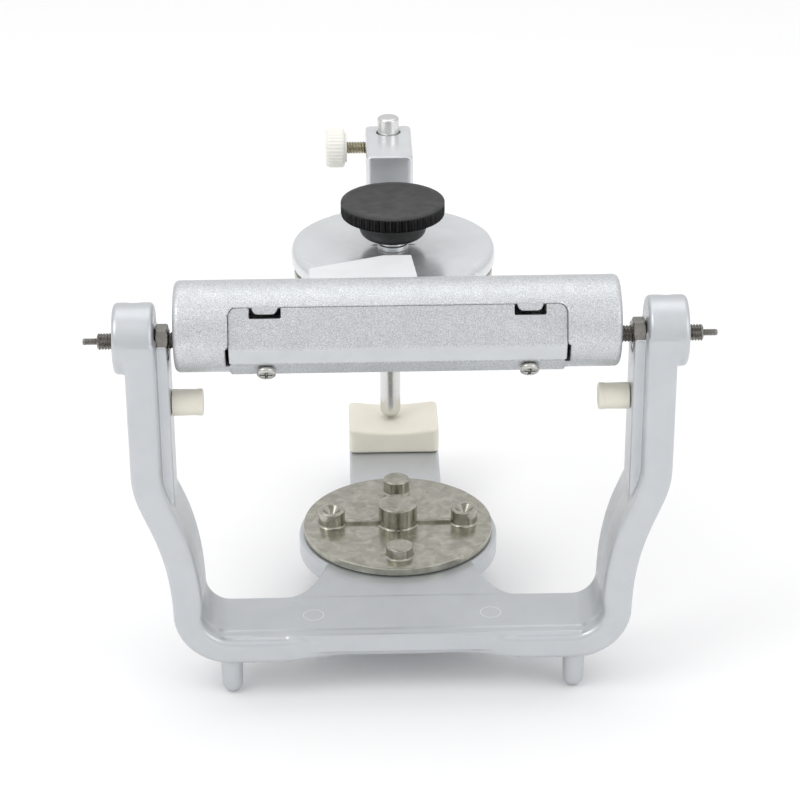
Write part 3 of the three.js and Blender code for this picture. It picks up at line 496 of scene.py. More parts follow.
# Where the sanded finish gives way to a sleeker one, in millimetres from the hinge axis.
SLEEK_BEYOND_Y = (16.4, 17.4)
SLEEK_BELOW_Z = (0.35, 0.1)
SANDED = dict(colour=(0.80, 0.82, 0.835), roughness=0.42, metallic=0.72, dark=(0.74, 0.76, 0.775),
              grain_mm=0.3, bump=0.85, relief_mm=0.07, speckle=0.6, speckle_share=0.75, wave=0.05)
SMALL_METAL = dict(mottle_mm=1.6, grain_mm=0.12, bump=0.2, relief_mm=0.015, speckle=0.15)
MATERIALS = {
    "frame_silver": new_material(
        "frame_silver", (0.585, 0.605, 0.625), 0.34, 0.62, dark=(0.54, 0.56, 0.58), coat=0.18,
        coat_roughness=0.22, grain_mm=0.16, bump=0.14, relief_mm=0.02, wave=0.12, wave_mm=5,
        mottle_mm=14, speckle=0.07),
    "housing_silver": new_material(
        "housing_silver", **SANDED, sleek=("Y", *(HINGE[1] / MM + y for y in SLEEK_BEYOND_Y)),
        sleek_rough=0.52, sleek_colour=(0.76, 0.78, 0.79), sleek_dark=(0.71, 0.73, 0.74)),
    "cover_silver": new_material(
        "cover_silver", **SANDED, sleek=("Z", *(HINGE[2] / MM + z for z in SLEEK_BELOW_Z)),
        sleek_rough=0.9, sleek_colour=(0.65, 0.67, 0.68), sleek_dark=(0.61, 0.63, 0.64)),
    # Painted highlight: a lighter, less metallic copy of the casting's silver that stands in for light falling on
    # the bridge's top facets and on the raised ejector rings.
    "painted_highlight_silver": new_material(
        "painted_highlight_silver", (0.82, 0.825, 0.835), 0.35, 0.3, dark=(0.76, 0.765, 0.775), grain_mm=0.3,
        bump=0.15, relief_mm=0.03, speckle=0.08),
    "plated_stud": new_material(
        "plated_stud", (0.46, 0.42, 0.31), 0.26, 1.0, dark=(0.33, 0.30, 0.21), **SMALL_METAL),
    "zinc_screw": new_material(
        "zinc_screw", (0.66, 0.65, 0.62), 0.24, 1.0, dark=(0.5, 0.49, 0.46), **SMALL_METAL),
    "plate_nickel": new_material(
        "plate_nickel", (0.57, 0.56, 0.485), 0.22, 1.0, dark=(0.33, 0.32, 0.265), mottle_mm=3,
        grain_mm=0.32, bump=0.45, relief_mm=0.03, speckle=0.4, speckle_share=0.6, rough_mm=1.5, wave=0.25,
        wave_mm=2.5, stretch=(1, 2.5, 1)),
    "screw_steel": new_material(
        "screw_steel", (0.34, 0.325, 0.30), 0.26, 1.0, dark=(0.21, 0.20, 0.18), **SMALL_METAL),
    "spring_steel": new_material(
        "spring_steel", (0.5, 0.5, 0.49), 0.2, 1.0, mottle_mm=1.0, grain_mm=0.1, bump=0.1),
    "pin_chrome": new_material(
        "pin_chrome", (0.74, 0.735, 0.725), 0.22, 1.0, dark=(0.66, 0.66, 0.65), grain_mm=0.3,
        bump=0.03, relief_mm=0.01, wave=0.02, speckle=0.03),
    "black_plastic": new_material(
        "black_plastic", (0.012, 0.012, 0.0125), 0.43, 0.0, dark=(0.008, 0.008, 0.0085),
        mottle_mm=6, grain_mm=0.3, bump=0.3, relief_mm=0.03, speckle=0.25),
    "cream_plastic": new_material(
        "cream_plastic", (0.80, 0.77, 0.67), 0.4, 0.0, dark=(0.755, 0.72, 0.615), mottle_mm=7,
        grain_mm=0.5, bump=0.06, relief_mm=0.02, speckle=0.02),
    "insert_plastic": new_material(
        "insert_plastic", (0.68, 0.67, 0.62), 0.45, 0.0, mottle_mm=5, grain_mm=0.4, bump=0.1),
    "white_plastic": new_material(
        "white_plastic", (0.86, 0.85, 0.79), 0.33, 0.0, dark=(0.81, 0.80, 0.74), mottle_mm=4,
        grain_mm=0.4, bump=0.08, relief_mm=0.02, speckle=0.02),
    "brass": new_material(
        "brass", (0.52, 0.45, 0.26), 0.3, 1.0, dark=(0.38, 0.31, 0.16), mottle_mm=2,
        grain_mm=0.15, bump=0.15),
}
slot_of = {s["node"]: s["material_slot"] for s in frame["record"]["subparts"]}
for node, obj in frame["nodes"].items():
    obj.data.materials.clear()
    obj.data.materials.append(MATERIALS[slot_of[node]])
    obj.data.polygons.foreach_set("use_smooth", np.ones(len(obj.data.polygons), bool))
    obj.data.set_sharp_from_angle(angle=math.radians(32))

# ---------------------------------------------------------------- lower frame
RIM_NEAR, RIM_FAR, RIM_WIDTH = -9.8, 3.0, 8.6
WEB_NEAR, WEB_FAR = -5.0, 14.0
DECK, DECK_THICK = -89.8, 6.0
PLATFORM_RADIUS, PLATFORM_LIP = 30.2, 0.6
BASE_BOTTOM, BASE_CORNER = -98.0, 16
BOW = 3.3  # how far the middle of the base stands back
POST_X, KNEE = 74.9, 65.1
ARM_HALF_WIDTH, ARM_NEAR, ARM_FAR = 14.4, 62.3, 131.0
BOSS_RADIUS, BOSS_Z, BOSS_INNER, BOSS_OUTER = 9.8, 0.8, 66.9, 78
FEET = ((49.2, -4.4), (0.0, 125.0))
FOOT_RADIUS = 2.9
SPINDLE_BORE = 2.7
SET_SCREW_X, LEAN = 72.4, math.radians(24)
PEG_Y, PEG_Z = 1, -19.3
CLAMP_BORE = 2.3
EJECTOR_X, EJECTOR_Y = 25.6, 3.3


def post_outline():
    """The U's outer edge on the right, from above the post down to the middle of the base."""
    points = [(POST_X, 60.0)]
    points += bezier((POST_X, -38), (POST_X, -50), (KNEE + 0.9, -56), (KNEE, -80), 20)
    centre = (KNEE - BASE_CORNER, BASE_BOTTOM + BASE_CORNER)
    steps = 14
    for i in range(1, steps + 1):
        angle = -math.pi / 2 * i / steps
        points.append((centre[0] + BASE_CORNER * math.cos(angle), centre[1] + BASE_CORNER * math.sin(angle)))
    return points + [(-100.0, BASE_BOTTOM), (-100.0, 60.0)]


POST = post_outline()
NECK = ([(-60.0, -8.0), (57.0, -8.0), (57.0, WEB_FAR), (33.0, WEB_FAR)]
        + bezier((33, WEB_FAR), (27, WEB_FAR + 1), (23.5, WEB_FAR + 9), (21.6, WEB_FAR + 18.5), 10)[1:]
        + [(12.0, PLATE_Y - 6), (-60.0, PLATE_Y - 6)])


def lower_frame(p):
    x, y, z = np.abs(p[:, 0]), p[:, 1], p[:, 2]
    edge_in = -polygon(x, z, POST)
    low_down = smooth_step((-78 - z) / 8)
    bow = BOW * smooth_step((36 - x) / 20) * low_down
    inner_corner = smooth_step(1 - np.hypot(x - KNEE + 6, z - BASE_BOTTOM - 6) / 14)
    width = RIM_WIDTH - 1.1 * low_down + 0.9 * inner_corner
    bowed_y = y - bow
    rim = rounded_box2(edge_in - width / 2, bowed_y - (RIM_NEAR + RIM_FAR) / 2, width / 2,
                       (RIM_FAR - RIM_NEAR) / 2, 1.9)
    far = np.interp(z, [-58, -40, -25, -6, 0], [WEB_FAR, 12.8, 11, 9.2, 7.8])
    web = rounded_box2(edge_in - 5.25, y - (far + WEB_NEAR) / 2, 3.0, (far - WEB_NEAR) / 2, 1.0)
    band = either(rim, web, 0.7)
    band = both(band, z - 2, 0.5)
    pad = both(rounded_box2(x - 65.1, y - 1, 1.85, 7, 0.7), slab(z, -58, 0.5), 0.6)
    body = either(band, pad, 0.25)
    # base
    plan = polygon(x, bowed_y, NECK)
    plan = np.where(x < 33, np.minimum(plan, polygon(x, y, NECK)), plan)
    deck = both(np.maximum(plan, 1.0 - edge_in), slab(z, DECK - DECK_THICK, DECK), 0.8)
    platform = both(np.hypot(x, y - PLATE_Y) - PLATFORM_RADIUS,
                    slab(z, DECK - DECK_THICK - PLATFORM_LIP, DECK), 0.9)
    arm_plan = rounded_box2(x, y - (ARM_NEAR + ARM_FAR) / 2, ARM_HALF_WIDTH, (ARM_FAR - ARM_NEAR) / 2, 4)
    arm = both(arm_plan, slab(z, DECK - DECK_THICK, DECK), 0.7)
    base = either(either(deck, platform), arm, 0.8)
    body = either(body, base, 0.45)
    # bosses and feet
    boss = both(np.hypot(y, z - BOSS_Z) - BOSS_RADIUS, slab(x, BOSS_INNER, BOSS_OUTER), 1.3)
    body = either(body, boss, 0.9)
    for foot_x, foot_y in FEET:
        radial = np.hypot(x - foot_x, y - foot_y)
        radius = FOOT_RADIUS + 0.45 * np.clip((z - FLOOR) / (-94 - FLOOR), 0, 1)
        tip = np.sqrt(radial ** 2 + np.minimum(z - FLOOR - FOOT_RADIUS, 0) ** 2) - radius
        foot = both(tip, z + 93)
        body = either(body, foot, 0.8)
    # bores
    cutters = [
        rod(y, z, x, SPINDLE_BORE, 55, 82),
        rod(y, z, x, 5.07, 60, BOSS_INNER),
        rod(x - SET_SCREW_X, *turned_by(LEAN, y, z), 1.75, 0, 14),
        rod(y - PEG_Y, z - PEG_Z, x, 2.2, 60, 66.5),
        rod(x, y - PLATE_Y, z, 3.3, -110, -80),
        rod(x, y - PIN_Y, z, 1.8, -110, -80),
        rod(x, y - PIN_Y, z, 3.3, -110, DECK - DECK_THICK + 2.6),
    ]
    for cutter in cutters:
        body = without(body, cutter, 0.2)
    return np.maximum(body, RIM_NEAR - y)


add_field("lower_casting", lower_frame, (-79, -10.4, -110), (79, 131.6, 11.5), 0.62,
          "lower_body", "frame_silver", ["lower_frame"])
ring_profile = [(2.75, DECK - 0.3), (3.1, DECK - 0.3), (3.1, DECK + 0.1), (3.0, DECK + 0.18),
                (2.85, DECK + 0.18), (2.75, DECK + 0.1), (2.75, DECK - 0.3)]
rings = [turned_shell(ring_profile, "z", (x, EJECTOR_Y, 0), 64) for x in (-EJECTOR_X, EJECTOR_X)]
# The ejector rings take the lighter silver as a painted highlight on their raised edges.
add_shells("ejector_marks", rings, "lower_body", "frame_silver", ["lower_frame"], 40, "painted_highlight_silver")

# ---------------------------------------------------------------- upper frame
TUBE_RADIUS, TUBE_HALF, TUBE_Y, TUBE_Z, TUBE_BORE = 12.6, 60.7, 4.06, 2.31, 10.2
DISC_RADIUS, DISC_TOP, DISC_BOTTOM = 29.5, 4.9, -1.3
COVER_HALF, COVER_THICK, GAP = 45.8, 1.2, 0.3
COVER_LONG = 20  # longer than half the cover, so that only its top corners are cut round
CATCH_X, WINDOW_HALF, NOTCH_HALF, TONGUE_HALF = 35.8, 4.2, 4.3, 3.5
PIN_BORE, THUMB_BORE = 3.6, 2.25
FOLD_TOP = np.array((-8.6, 9.1))
FOLD_BEND = np.array((-12.5, -1.5))
FOLD_BOTTOM = np.array((-10.55, -6.9))
LIP_END = np.array((-7.0, -11.7))
FLAT_ALONG = (FOLD_BEND - FOLD_TOP) / np.linalg.norm(FOLD_BEND - FOLD_TOP)
FLAT_OUT = np.array((FLAT_ALONG[1], -FLAT_ALONG[0]))
LIP_ALONG = (LIP_END - FOLD_BOTTOM) / np.linalg.norm(LIP_END - FOLD_BOTTOM)
LIP_OUT = np.array((LIP_ALONG[1], -LIP_ALONG[0]))
LIP_MIDDLE = (FOLD_BOTTOM + LIP_END) / 2
PATH = math.radians(30)


def inward(point, distance):
    """The point moved that far towards the tube's axis."""
    return tuple(point * (1 - distance / np.linalg.norm(point)))


def past_end(end, before, distance):
    """A point that far beyond end, on the line from before."""
    return end + (end - before) / np.linalg.norm(end - before) * distance


def cover_section(clearance, outwards):
    """The folded cover's outline across the tube, grown by clearance and reaching outwards."""
    top = past_end(FOLD_TOP, FOLD_BEND, clearance)
    bottom = past_end(FOLD_BOTTOM, FOLD_BEND, clearance)
    depth = COVER_THICK + clearance
    return [inward(top, -outwards), inward(FOLD_BEND, -outwards), inward(bottom, -outwards),
            inward(bottom, depth), inward(FOLD_BEND, depth), inward(top, depth)]


COVER = cover_section(0, 0)
SEAM = 0.06
COVER_CORNER = 2.6
POCKET = cover_section(SEAM, 4)
LIP_CUT = [tuple(FOLD_BOTTOM), tuple(LIP_END), inward(LIP_END, -3), inward(FOLD_BOTTOM, -3)]
LIP_STRIP = [tuple(FOLD_BOTTOM), tuple(LIP_END), inward(LIP_END, 2), inward(FOLD_BOTTOM, 2)]
RELIEF = [(-14.0, -1.5), (-9.0, -1.5), (-6.5, -7.6), (-9.6, -7.6), (-14.0, -7.6)]
BRIDGE_SIDE = [(TUBE_Y, -6.0), (16.0, -6.0), (22.0, -1.2), (31.5, 0.0), (31.5, 4.0), (25.3, 13.5),
               (TUBE_Y + 4, TUBE_Z + TUBE_RADIUS - 0.7), (TUBE_Y, TUBE_Z)]
BRIDGE_PLAN = [(-24.0, 2.0), (6.1, 2.0), (5.7, 10.0), (4.6, 24.5), (4.1, 34.0), (1.5, 34.0), (-3.4, 25.4),
               (-24.0, 16.0)]
NECK_PLAN = ([(-40.0, TUBE_Y), (26.0, TUBE_Y)] + bezier((25, 16), (21, 20), (20.5, 25), (22, 34), 8)
             + [(10.0, PLATE_Y), (-40.0, PLATE_Y)])
ARM_SIDE = [(PLATE_Y, DISC_BOTTOM), (PLATE_Y + 32.8, DISC_BOTTOM), (120.8, -3.0), (120.8, 16.6),
            (93.8, 16.6), (92.6, DISC_TOP - 0.4), (PLATE_Y, DISC_TOP - 0.4)]


def bridge_block(x, y, z):
    block = both(polygon(y, z, BRIDGE_SIDE), polygon(x, y, BRIDGE_PLAN), 0.3)
    return both(block, 4.3 - np.hypot(y - PLATE_Y, x))


def bridge_top(p):
    x, y, z = p[:, 0] - UPPER_SHIFT, p[:, 1], p[:, 2]
    tube = np.hypot(y - TUBE_Y, z - TUBE_Z) - TUBE_RADIUS
    return both(both(bridge_block(x, y, z), -1.2 - tube), 3.9 - z)


def upper_frame(p):
    x, y, z = p[:, 0] - UPPER_SHIFT, p[:, 1], p[:, 2]
    side = np.abs(x)
    ty, tz = y - TUBE_Y, z - TUBE_Z
    tube = both(np.hypot(ty, tz) - TUBE_RADIUS, side - TUBE_HALF, 1.6)
    flat_s = past_point(ty, tz, FOLD_TOP, FLAT_ALONG)
    flat_d = past_point(ty, tz, FOLD_TOP, FLAT_OUT)
    bridge = bridge_block(x, y, z)
    neck = polygon(side, y, NECK_PLAN)
    disc = np.hypot(x, y - PLATE_Y) - DISC_RADIUS
    edge = 1.0 + 1.7 * smooth_step((PLATE_Y + 12 - y) / 20)
    plate = both(either(neck, disc, 3.0), slab(z, DISC_BOTTOM, DISC_TOP), edge)
    arm = both(polygon(y, z, ARM_SIDE), side - 7.1, 1.3)
    strip = both(polygon(ty, tz, LIP_STRIP), side - COVER_HALF + 0.4 * (tz + 6.9) / -4.8, 0.25)
    body = either(either(tube, plate, 1.2), strip)
    body = either(body, bridge + 0.45)
    body = either(body, arm, 0.8)
    body = without(body, rod(ty, tz, x, TUBE_BORE, -57.7, 57.7))
    opening = rounded_box2(x, flat_s - COVER_LONG, COVER_HALF + SEAM, COVER_LONG + SEAM, COVER_CORNER)
    body = without(body, both(polygon(ty, tz, POCKET), opening), 0.12)
    body = without(body, both(polygon(ty, tz, LIP_CUT), side - COVER_HALF), 0.15)
    relief = both(slab(side, 45.4, 46.7), polygon(ty, tz, RELIEF), 0.3)
    body = without(body, relief, 0.15)
    along, across = turned_by(PATH, y, z)
    slot = both(rounded_box2(along - 2, across, 4.7, 2.7, 2.69), slab(side, 55.7, 63))
    body = without(body, slot, 0.2)
    body = without(body, rod(x, y - PLATE_Y, z, CLAMP_BORE, -10, 20), 0.2)
    body = without(body, rod(x, y - PIN_Y, z, PIN_BORE, -20, 40), 0.35)
    body = without(body, both(np.hypot(y - PIN_Y, z - THUMB_Z) - THUMB_BORE, x), 0.2)
    window = both(rounded_box2(side - CATCH_X, flat_s - 1.6, WINDOW_HALF, 1.4, 0.3), slab(flat_d, -5, 0.2))
    body = without(body, window, 0.1)
    tongue = both(rounded_box2(side - CATCH_X, flat_s, TONGUE_HALF, 2.0, 1.7), slab(flat_d, -1.4, -0.15),
                  0.35)
    tongue = both(tongue, np.hypot(ty, tz) - TUBE_RADIUS + 0.05, 0.2)
    body = either(body, tongue, 0.2)
    lip_b = past_point(ty, tz, LIP_MIDDLE, LIP_ALONG)
    lip_c = past_point(ty, tz, LIP_MIDDLE, LIP_OUT)
    lug = rod(side - CATCH_X, lip_b, lip_c, 2.6, -4.5, -0.9, 0.2)
    hole = rod(side - CATCH_X, lip_b, lip_c, 1.6, -8, 4)
    return without(either(body, lug), hole, 0.15)


add_field("upper_casting", upper_frame, (-62, -9, -11), (61, 121.5, 17.2), 0.62,
          "upper_body", "housing_silver", ["upper_frame"])
# The bridge's top facets are a separate shell in the lighter silver, a painted highlight where light falls on the
# top of the bridge.
add_field("bridge_facets", bridge_top, (-26, 2, 3.8), (8, 34, 15), 0.32, "upper_body", "housing_silver",
          ["upper_frame"], "painted_highlight_silver")
UPPER_CLAMP = (UPPER_SHIFT, PLATE_Y, 0)
COLLAR_RADIUS, COLLAR_TOP = 4.6, 5.6
collar_profile = rounded_profile([
    (CLAMP_BORE, DISC_TOP - 1), (COLLAR_RADIUS, DISC_TOP - 1), (COLLAR_RADIUS, COLLAR_TOP, 0.25),
    (CLAMP_BORE, COLLAR_TOP), (CLAMP_BORE, 5.0)], 3)
add_turned("clamp_collar", collar_profile + collar_profile[:1], "z", UPPER_CLAMP, "upper_body",
           "housing_silver", ["upper_frame"])


def housing_cover(p):
    x, ty, tz = p[:, 0] - UPPER_SHIFT, p[:, 1] - TUBE_Y, p[:, 2] - TUBE_Z
    side = np.abs(x)
    flat_s = past_point(ty, tz, FOLD_TOP, FLAT_ALONG)
    corners = rounded_box2(x, flat_s - COVER_LONG, COVER_HALF, COVER_LONG, COVER_CORNER)
    sheet = both(polygon(ty, tz, COVER), corners, 0.16)
    notch = rounded_box2(side - CATCH_X, flat_s, NOTCH_HALF, 3.0, 0.3)
    return without(sheet, notch, 0.12)


add_field("hinge_cover", housing_cover, (-47.5, -9.5, -6), (45.5, -4.2, 12.2), 0.42,
          "upper_body", "housing_silver", ["housing_cover"], "cover_silver")


def cover_screw(p, centre_x):
    x, ty, tz = p[:, 0] - centre_x, p[:, 1] - TUBE_Y, p[:, 2] - TUBE_Z
    b = past_point(ty, tz, LIP_MIDDLE, LIP_ALONG)
    c = past_point(ty, tz, LIP_MIDDLE, LIP_OUT)
    head_top, recess = 1.9, 1.7
    head = rod(x, b, c, 2.7, 0.2, head_top, 0.8)
    shank = rod(x, b, c, 1.3, -5.5, 0.6, 0.2)
    taper = np.maximum(0.42 - 0.1 * (head_top - c), 0.1)
    arm_a = both(both(np.abs(x) - taper, np.abs(b) - recess), 0.7 - c)
    arm_b = both(both(np.abs(b) - taper, np.abs(x) - recess), 0.7 - c)
    return without(either(head, shank, 0.1), np.minimum(arm_a, arm_b), 0.08)


for name, sign in SIDES:
    at_x = sign * CATCH_X + UPPER_SHIFT
    add_field(f"pan_screw_{name}", lambda p, at_x=at_x: cover_screw(p, at_x),
              (at_x - 3, -7.8, -10.6), (at_x + 3, 1, -2), 0.2,
              "upper_body", "screw_steel", [f"cover_screw_{name}"], "zinc_screw")

# ---------------------------------------------------------------- mounting plates
PLATE_RADIUS, PLATE_THICK, PLATE_HOLE_DEPTH = 28.8, 2.4, 4.5
STUD_REACH, STUD_RADIUS, MIDDLE_STUD_RADIUS = 20.2, 4.0, 5.85


def stud_shell(u, v, radius, height, countersunk):
    """A stud with a filleted foot, standing on a plate whose back face is at zero."""
    top = PLATE_THICK + height
    profile = [(0, PLATE_THICK - 0.4), (radius + 0.55, PLATE_THICK - 0.4, 0),
               (radius + 0.5, PLATE_THICK - 0.02, 0), (radius + 0.02, PLATE_THICK + 0.35, 0.5),
               (radius, top - 0.05, 0.35)]
    if countersunk:
        profile += [(2.75, top, 0.12), (0.35, top - 2.9, 0.15), (0, top - 3.0)]
    else:
        profile += [(radius * 0.5, top + 0.02, 0), (0, top - 0.03)]
    return turned_shell(rounded_profile(profile, 3), "z", (u, v, 0), 56)


def mounting_plate(name, centre_x, back, sign, body):
    """A plate whose studs point along sign * Z from its back face."""
    top = PLATE_THICK
    disc = [(0, PLATE_HOLE_DEPTH), (CLAMP_BORE, PLATE_HOLE_DEPTH)]
    disc += rounded_profile([(CLAMP_BORE, 0), (PLATE_RADIUS, 0, 0.35), (PLATE_RADIUS, top * 0.5, 0),
                             (PLATE_RADIUS, top, 0.4), (15, top, 0), (0, top)], 3)
    shells = [turned_shell(disc, "z", (0, 0, 0), 160),
              stud_shell(0, 0, MIDDLE_STUD_RADIUS, 6.6, False),
              stud_shell(0, STUD_REACH, STUD_RADIUS, 4.4, False),
              stud_shell(0, -STUD_REACH, STUD_RADIUS, 3.4, False)]
    for side in (-1, 1):
        shells.append(stud_shell(side * STUD_REACH, 0, STUD_RADIUS, 4.7, True))
        rib = sorted((side * 5.0, side * (STUD_REACH - 3.5)))
        shells.append(box_shell((rib[0], -0.8, top - 0.4), (rib[1], 0.8, top + 1.0), 0.3))
        rail = sorted((side * 0.3, side * 1.1))
        shells.append(box_shell((rail[0], -STUD_REACH + 3.4, top - 0.4), (rail[1], -5, top + 1.0), 0.2))
    turned_over = np.array((1, sign, sign))
    placed = [(points * turned_over + np.array((centre_x, PLATE_Y, back)), faces) for points, faces in shells]
    add_shells(name, placed, body, "plate_nickel", [f"{name.split('_')[0]}_mounting_plate"], 35)


mounting_plate("lower_jaw_plate", 0.0, DECK + GAP, 1, "lower_body")
mounting_plate("upper_jaw_plate", UPPER_SHIFT, DISC_BOTTOM - GAP, -1, "upper_body")

# ---------------------------------------------------------------- incisal table
TABLE_BOTTOM = DECK + GAP
TABLE_TOP = TABLE_BOTTOM + 8.5
TABLE_WIDTH, TABLE_NEAR, TABLE_FAR = 29.0, 103.6, 125.2
TABLE_DISH, TABLE_DIMPLE, DIMPLE_RADIUS = 1.3, 0.4, 6.0
DISH_RADIUS = (TABLE_WIDTH ** 2 / 4 + TABLE_DISH ** 2) / (2 * TABLE_DISH)


def incisal_table(p):
    x, y, z = p[:, 0], p[:, 1] - PIN_Y, p[:, 2]
    middle = (TABLE_NEAR + TABLE_FAR) / 2 - PIN_Y
    plan = rounded_box2(x, y - middle, TABLE_WIDTH / 2, (TABLE_FAR - TABLE_NEAR) / 2, 2.0)
    body = both(plan, slab(z, TABLE_BOTTOM, TABLE_TOP), 0.8)
    dish = np.hypot(x, z - (TABLE_TOP + DISH_RADIUS - TABLE_DISH)) - DISH_RADIUS
    body = without(body, dish, 0.9)
    pit = TABLE_TOP - TABLE_DISH - TABLE_DIMPLE + DIMPLE_RADIUS
    dimple = np.sqrt((x - UPPER_SHIFT) ** 2 + y ** 2 + (z - pit) ** 2) - DIMPLE_RADIUS
    body = without(body, dimple, 0.4)
    return without(body, rod(x, y, z, 1.6, TABLE_BOTTOM - 1, TABLE_BOTTOM + 4.6), 0.1)


add_field("pin_table", incisal_table, (-15, TABLE_NEAR - 0.5, TABLE_BOTTOM - 0.2),
          (15, TABLE_FAR + 0.5, TABLE_TOP + 0.2), 0.45, "lower_body", "cream_plastic", ["incisal_table"])

# ---------------------------------------------------------------- spindles, nuts, set screws, pegs
THREAD_PITCH = 0.8
SPINDLE_RADIUS, THUMB_STUD_RADIUS = 2.4, 1.95
NUT_HALF_FLATS, NUT_INNER, NUT_OUTER = 4.0, 63.2, 66.6


def thread_rows(radius, start, end, step):
    """Rows of a profile close enough together to carry a thread."""
    rows = []
    along = start
    while along < end:
        rows.append((radius, along))
        along += step
    return rows


def threaded(crest, depth, start, end):
    """Cuts a thread into the rows whose radius is crest, fading out near start and end."""
    def shape(radius, angle, along):
        if radius != crest:
            return radius
        phase = (along / THREAD_PITCH - angle / (2 * math.pi)) % 1.0
        fade = max(0.0, min(1.0, (abs(along) - start) / 0.6, (end - abs(along)) / 0.5))
        return radius - depth * fade * (1 - abs(2 * phase - 1)) ** 0.8
    return shape


def spindle_piece(name, sign):
    """A threaded spindle with a plain journal inside and a slim pin outside."""
    rows = [(0.0, 50.6), (1.4, 50.6), (1.6, 50.8), (1.6, 50.95), (1.1, 51.0), (1.1, 51.8), (1.6, 51.85),
            (1.6, 59.2), (1.6, 59.4), (2.0, 59.6)]
    rows += thread_rows(SPINDLE_RADIUS, 59.9, 82.1, THREAD_PITCH / 8)
    rows += [(2.05, 82.3), (1.85, 82.5), (1.0, 82.5)]
    rows += [(0.95 - 0.13 * (i % 2), 82.6 + 0.2 * i) for i in range(18)]
    rows += [(0.9, 86.3), (0.6, 86.5), (0.0, 86.5)]
    add_turned(f"threaded_spindle_{name}", [(r, a * sign) for r, a in rows], "x", (0, 0, 0),
               "lower_body", "screw_steel", [f"spindle_{name}"], 40,
               threaded(SPINDLE_RADIUS, 0.42, 59.7, 82.3), degrees=50)


def lock_nut(p, sign):
    """A hexagon nut chamfered on both faces."""
    x, y, z = p[:, 0] * sign, p[:, 1], p[:, 2]
    body = both(hexagon(y, z, NUT_HALF_FLATS, 0.5), slab(x, NUT_INNER, NUT_OUTER), 0.12)
    radial = np.hypot(y, z)
    corner = radial - NUT_HALF_FLATS
    chamfer = np.maximum(corner - (x - NUT_INNER) * 1.8, corner - (NUT_OUTER - x) * 1.8) * 0.49
    body = both(body, chamfer, 0.08)
    return without(body, both(radial - SPINDLE_BORE, slab(x, 60, 70)), 0.25)


def set_screw(p, sign):
    """A grub screw with a hexagon socket in its top."""
    x = p[:, 0] - sign * SET_SCREW_X
    y, z = turned_by(LEAN, p[:, 1], p[:, 2])
    body = rod(x, y, z, 1.6, 2.7, 10.0, 0.3)
    return without(body, both(hexagon(x, y, 0.9), 8.4 - z), 0.1)


for name, sign in SIDES:
    spindle_piece(name, sign)
    ends = sorted((sign * 62.8, sign * 67.0))
    add_field(f"hex_nut_{name}", lambda p, s=sign: lock_nut(p, s), (ends[0], -4.8, -4.8), (ends[1], 4.8, 4.8),
              0.22, "lower_body", "screw_steel", [f"lock_nut_{name}"])
    centre = sign * SET_SCREW_X
    add_field(f"grub_screw_{name}", lambda p, s=sign: set_screw(p, s), (centre - 1.8, -0.6, 1.7),
              (centre + 1.8, 5.8, 10.0), 0.2, "lower_body", "screw_steel", [f"set_screw_{name}"])
    peg = rounded_profile([(0, 54.9), (2.2, 54.9, 0), (2.6, 54.5, 0.2), (3.55, 54.5, 0.3), (3.8, 55.0, 0.3),
                           (3.74, 55.8, 0.4), (3.62, 56.4, 0.3), (3.66, 59, 0), (3.72, 63.0, 0.2),
                           (1.9, 63.0, 0.1), (1.9, 66.2, 0.2), (0, 66.2)])
    add_turned(f"peg_{name}", [(r, a * sign) for r, a in peg], "x", (0, PEG_Y, PEG_Z), "lower_body",
               "cream_plastic", [f"stop_peg_{name}"], 64)

# ---------------------------------------------------------------- knobs, washer, pin, thumb screw
KNOB_RADIUS, KNOB_TOP, KNOB_SEAT = 15.0, 18.6, 6.9


def ribbed(count, depth, low, high, sharp=1.0):
    """Ribs run along a turned piece between two heights, where it is at its full radius."""
    def shape(radius, angle, along):
        if not low <= along <= high:
            return radius
        wave = 0.5 - 0.5 * math.cos(count * angle)
        return radius - depth * wave ** sharp
    return shape


knob_profile = rounded_profile([
    (0, KNOB_TOP - 0.55), (6, KNOB_TOP - 0.5, 0), (11.5, KNOB_TOP - 0.28, 1.5), (13.7, KNOB_TOP, 0.8),
    (KNOB_RADIUS, KNOB_TOP - 0.15, 0.45), (KNOB_RADIUS, KNOB_TOP - 0.75, 0), (KNOB_RADIUS, KNOB_TOP - 2.2, 0),
    (KNOB_RADIUS, KNOB_TOP - 4.0, 0.25), (13.9, KNOB_TOP - 4.25, 0.3), (9.9, KNOB_TOP - 4.25, 0.8),
    (9.8, KNOB_TOP - 5.6, 0), (9.8, KNOB_SEAT + 3.6, 0.9), (9.3, KNOB_SEAT + 2, 0.8),
    (8.2, KNOB_SEAT + 1.1, 0.5), (6.0, KNOB_SEAT + 0.7, 0), (4.3, KNOB_SEAT + 0.6, 0.2),
    (4.2, KNOB_SEAT, 0.2), (CLAMP_BORE, KNOB_SEAT, 0.2), (CLAMP_BORE, KNOB_SEAT + 7, 0),
    (0, KNOB_SEAT + 7)], 5)
add_turned("clamp_knob_upper", knob_profile, "z", UPPER_CLAMP, "upper_clamp", "black_plastic",
           ["upper_clamp_knob"], 640, ribbed(100, 0.75, KNOB_TOP - 4.05, KNOB_TOP - 0.5, 0.55), degrees=60)

WASHER_RADIUS, WASHER_BOTTOM, WASHER_TOP = 4.4, 5.9, 6.6
washer_profile = rounded_profile([
    (CLAMP_BORE, WASHER_BOTTOM), (WASHER_RADIUS, WASHER_BOTTOM, 0.15), (WASHER_RADIUS, WASHER_TOP, 0.2),
    (CLAMP_BORE, WASHER_TOP), (CLAMP_BORE, 6.2), (CLAMP_BORE, WASHER_BOTTOM)])
add_turned("bright_washer", washer_profile, "z", UPPER_CLAMP, "upper_body", "pin_chrome", ["clamp_washer"])

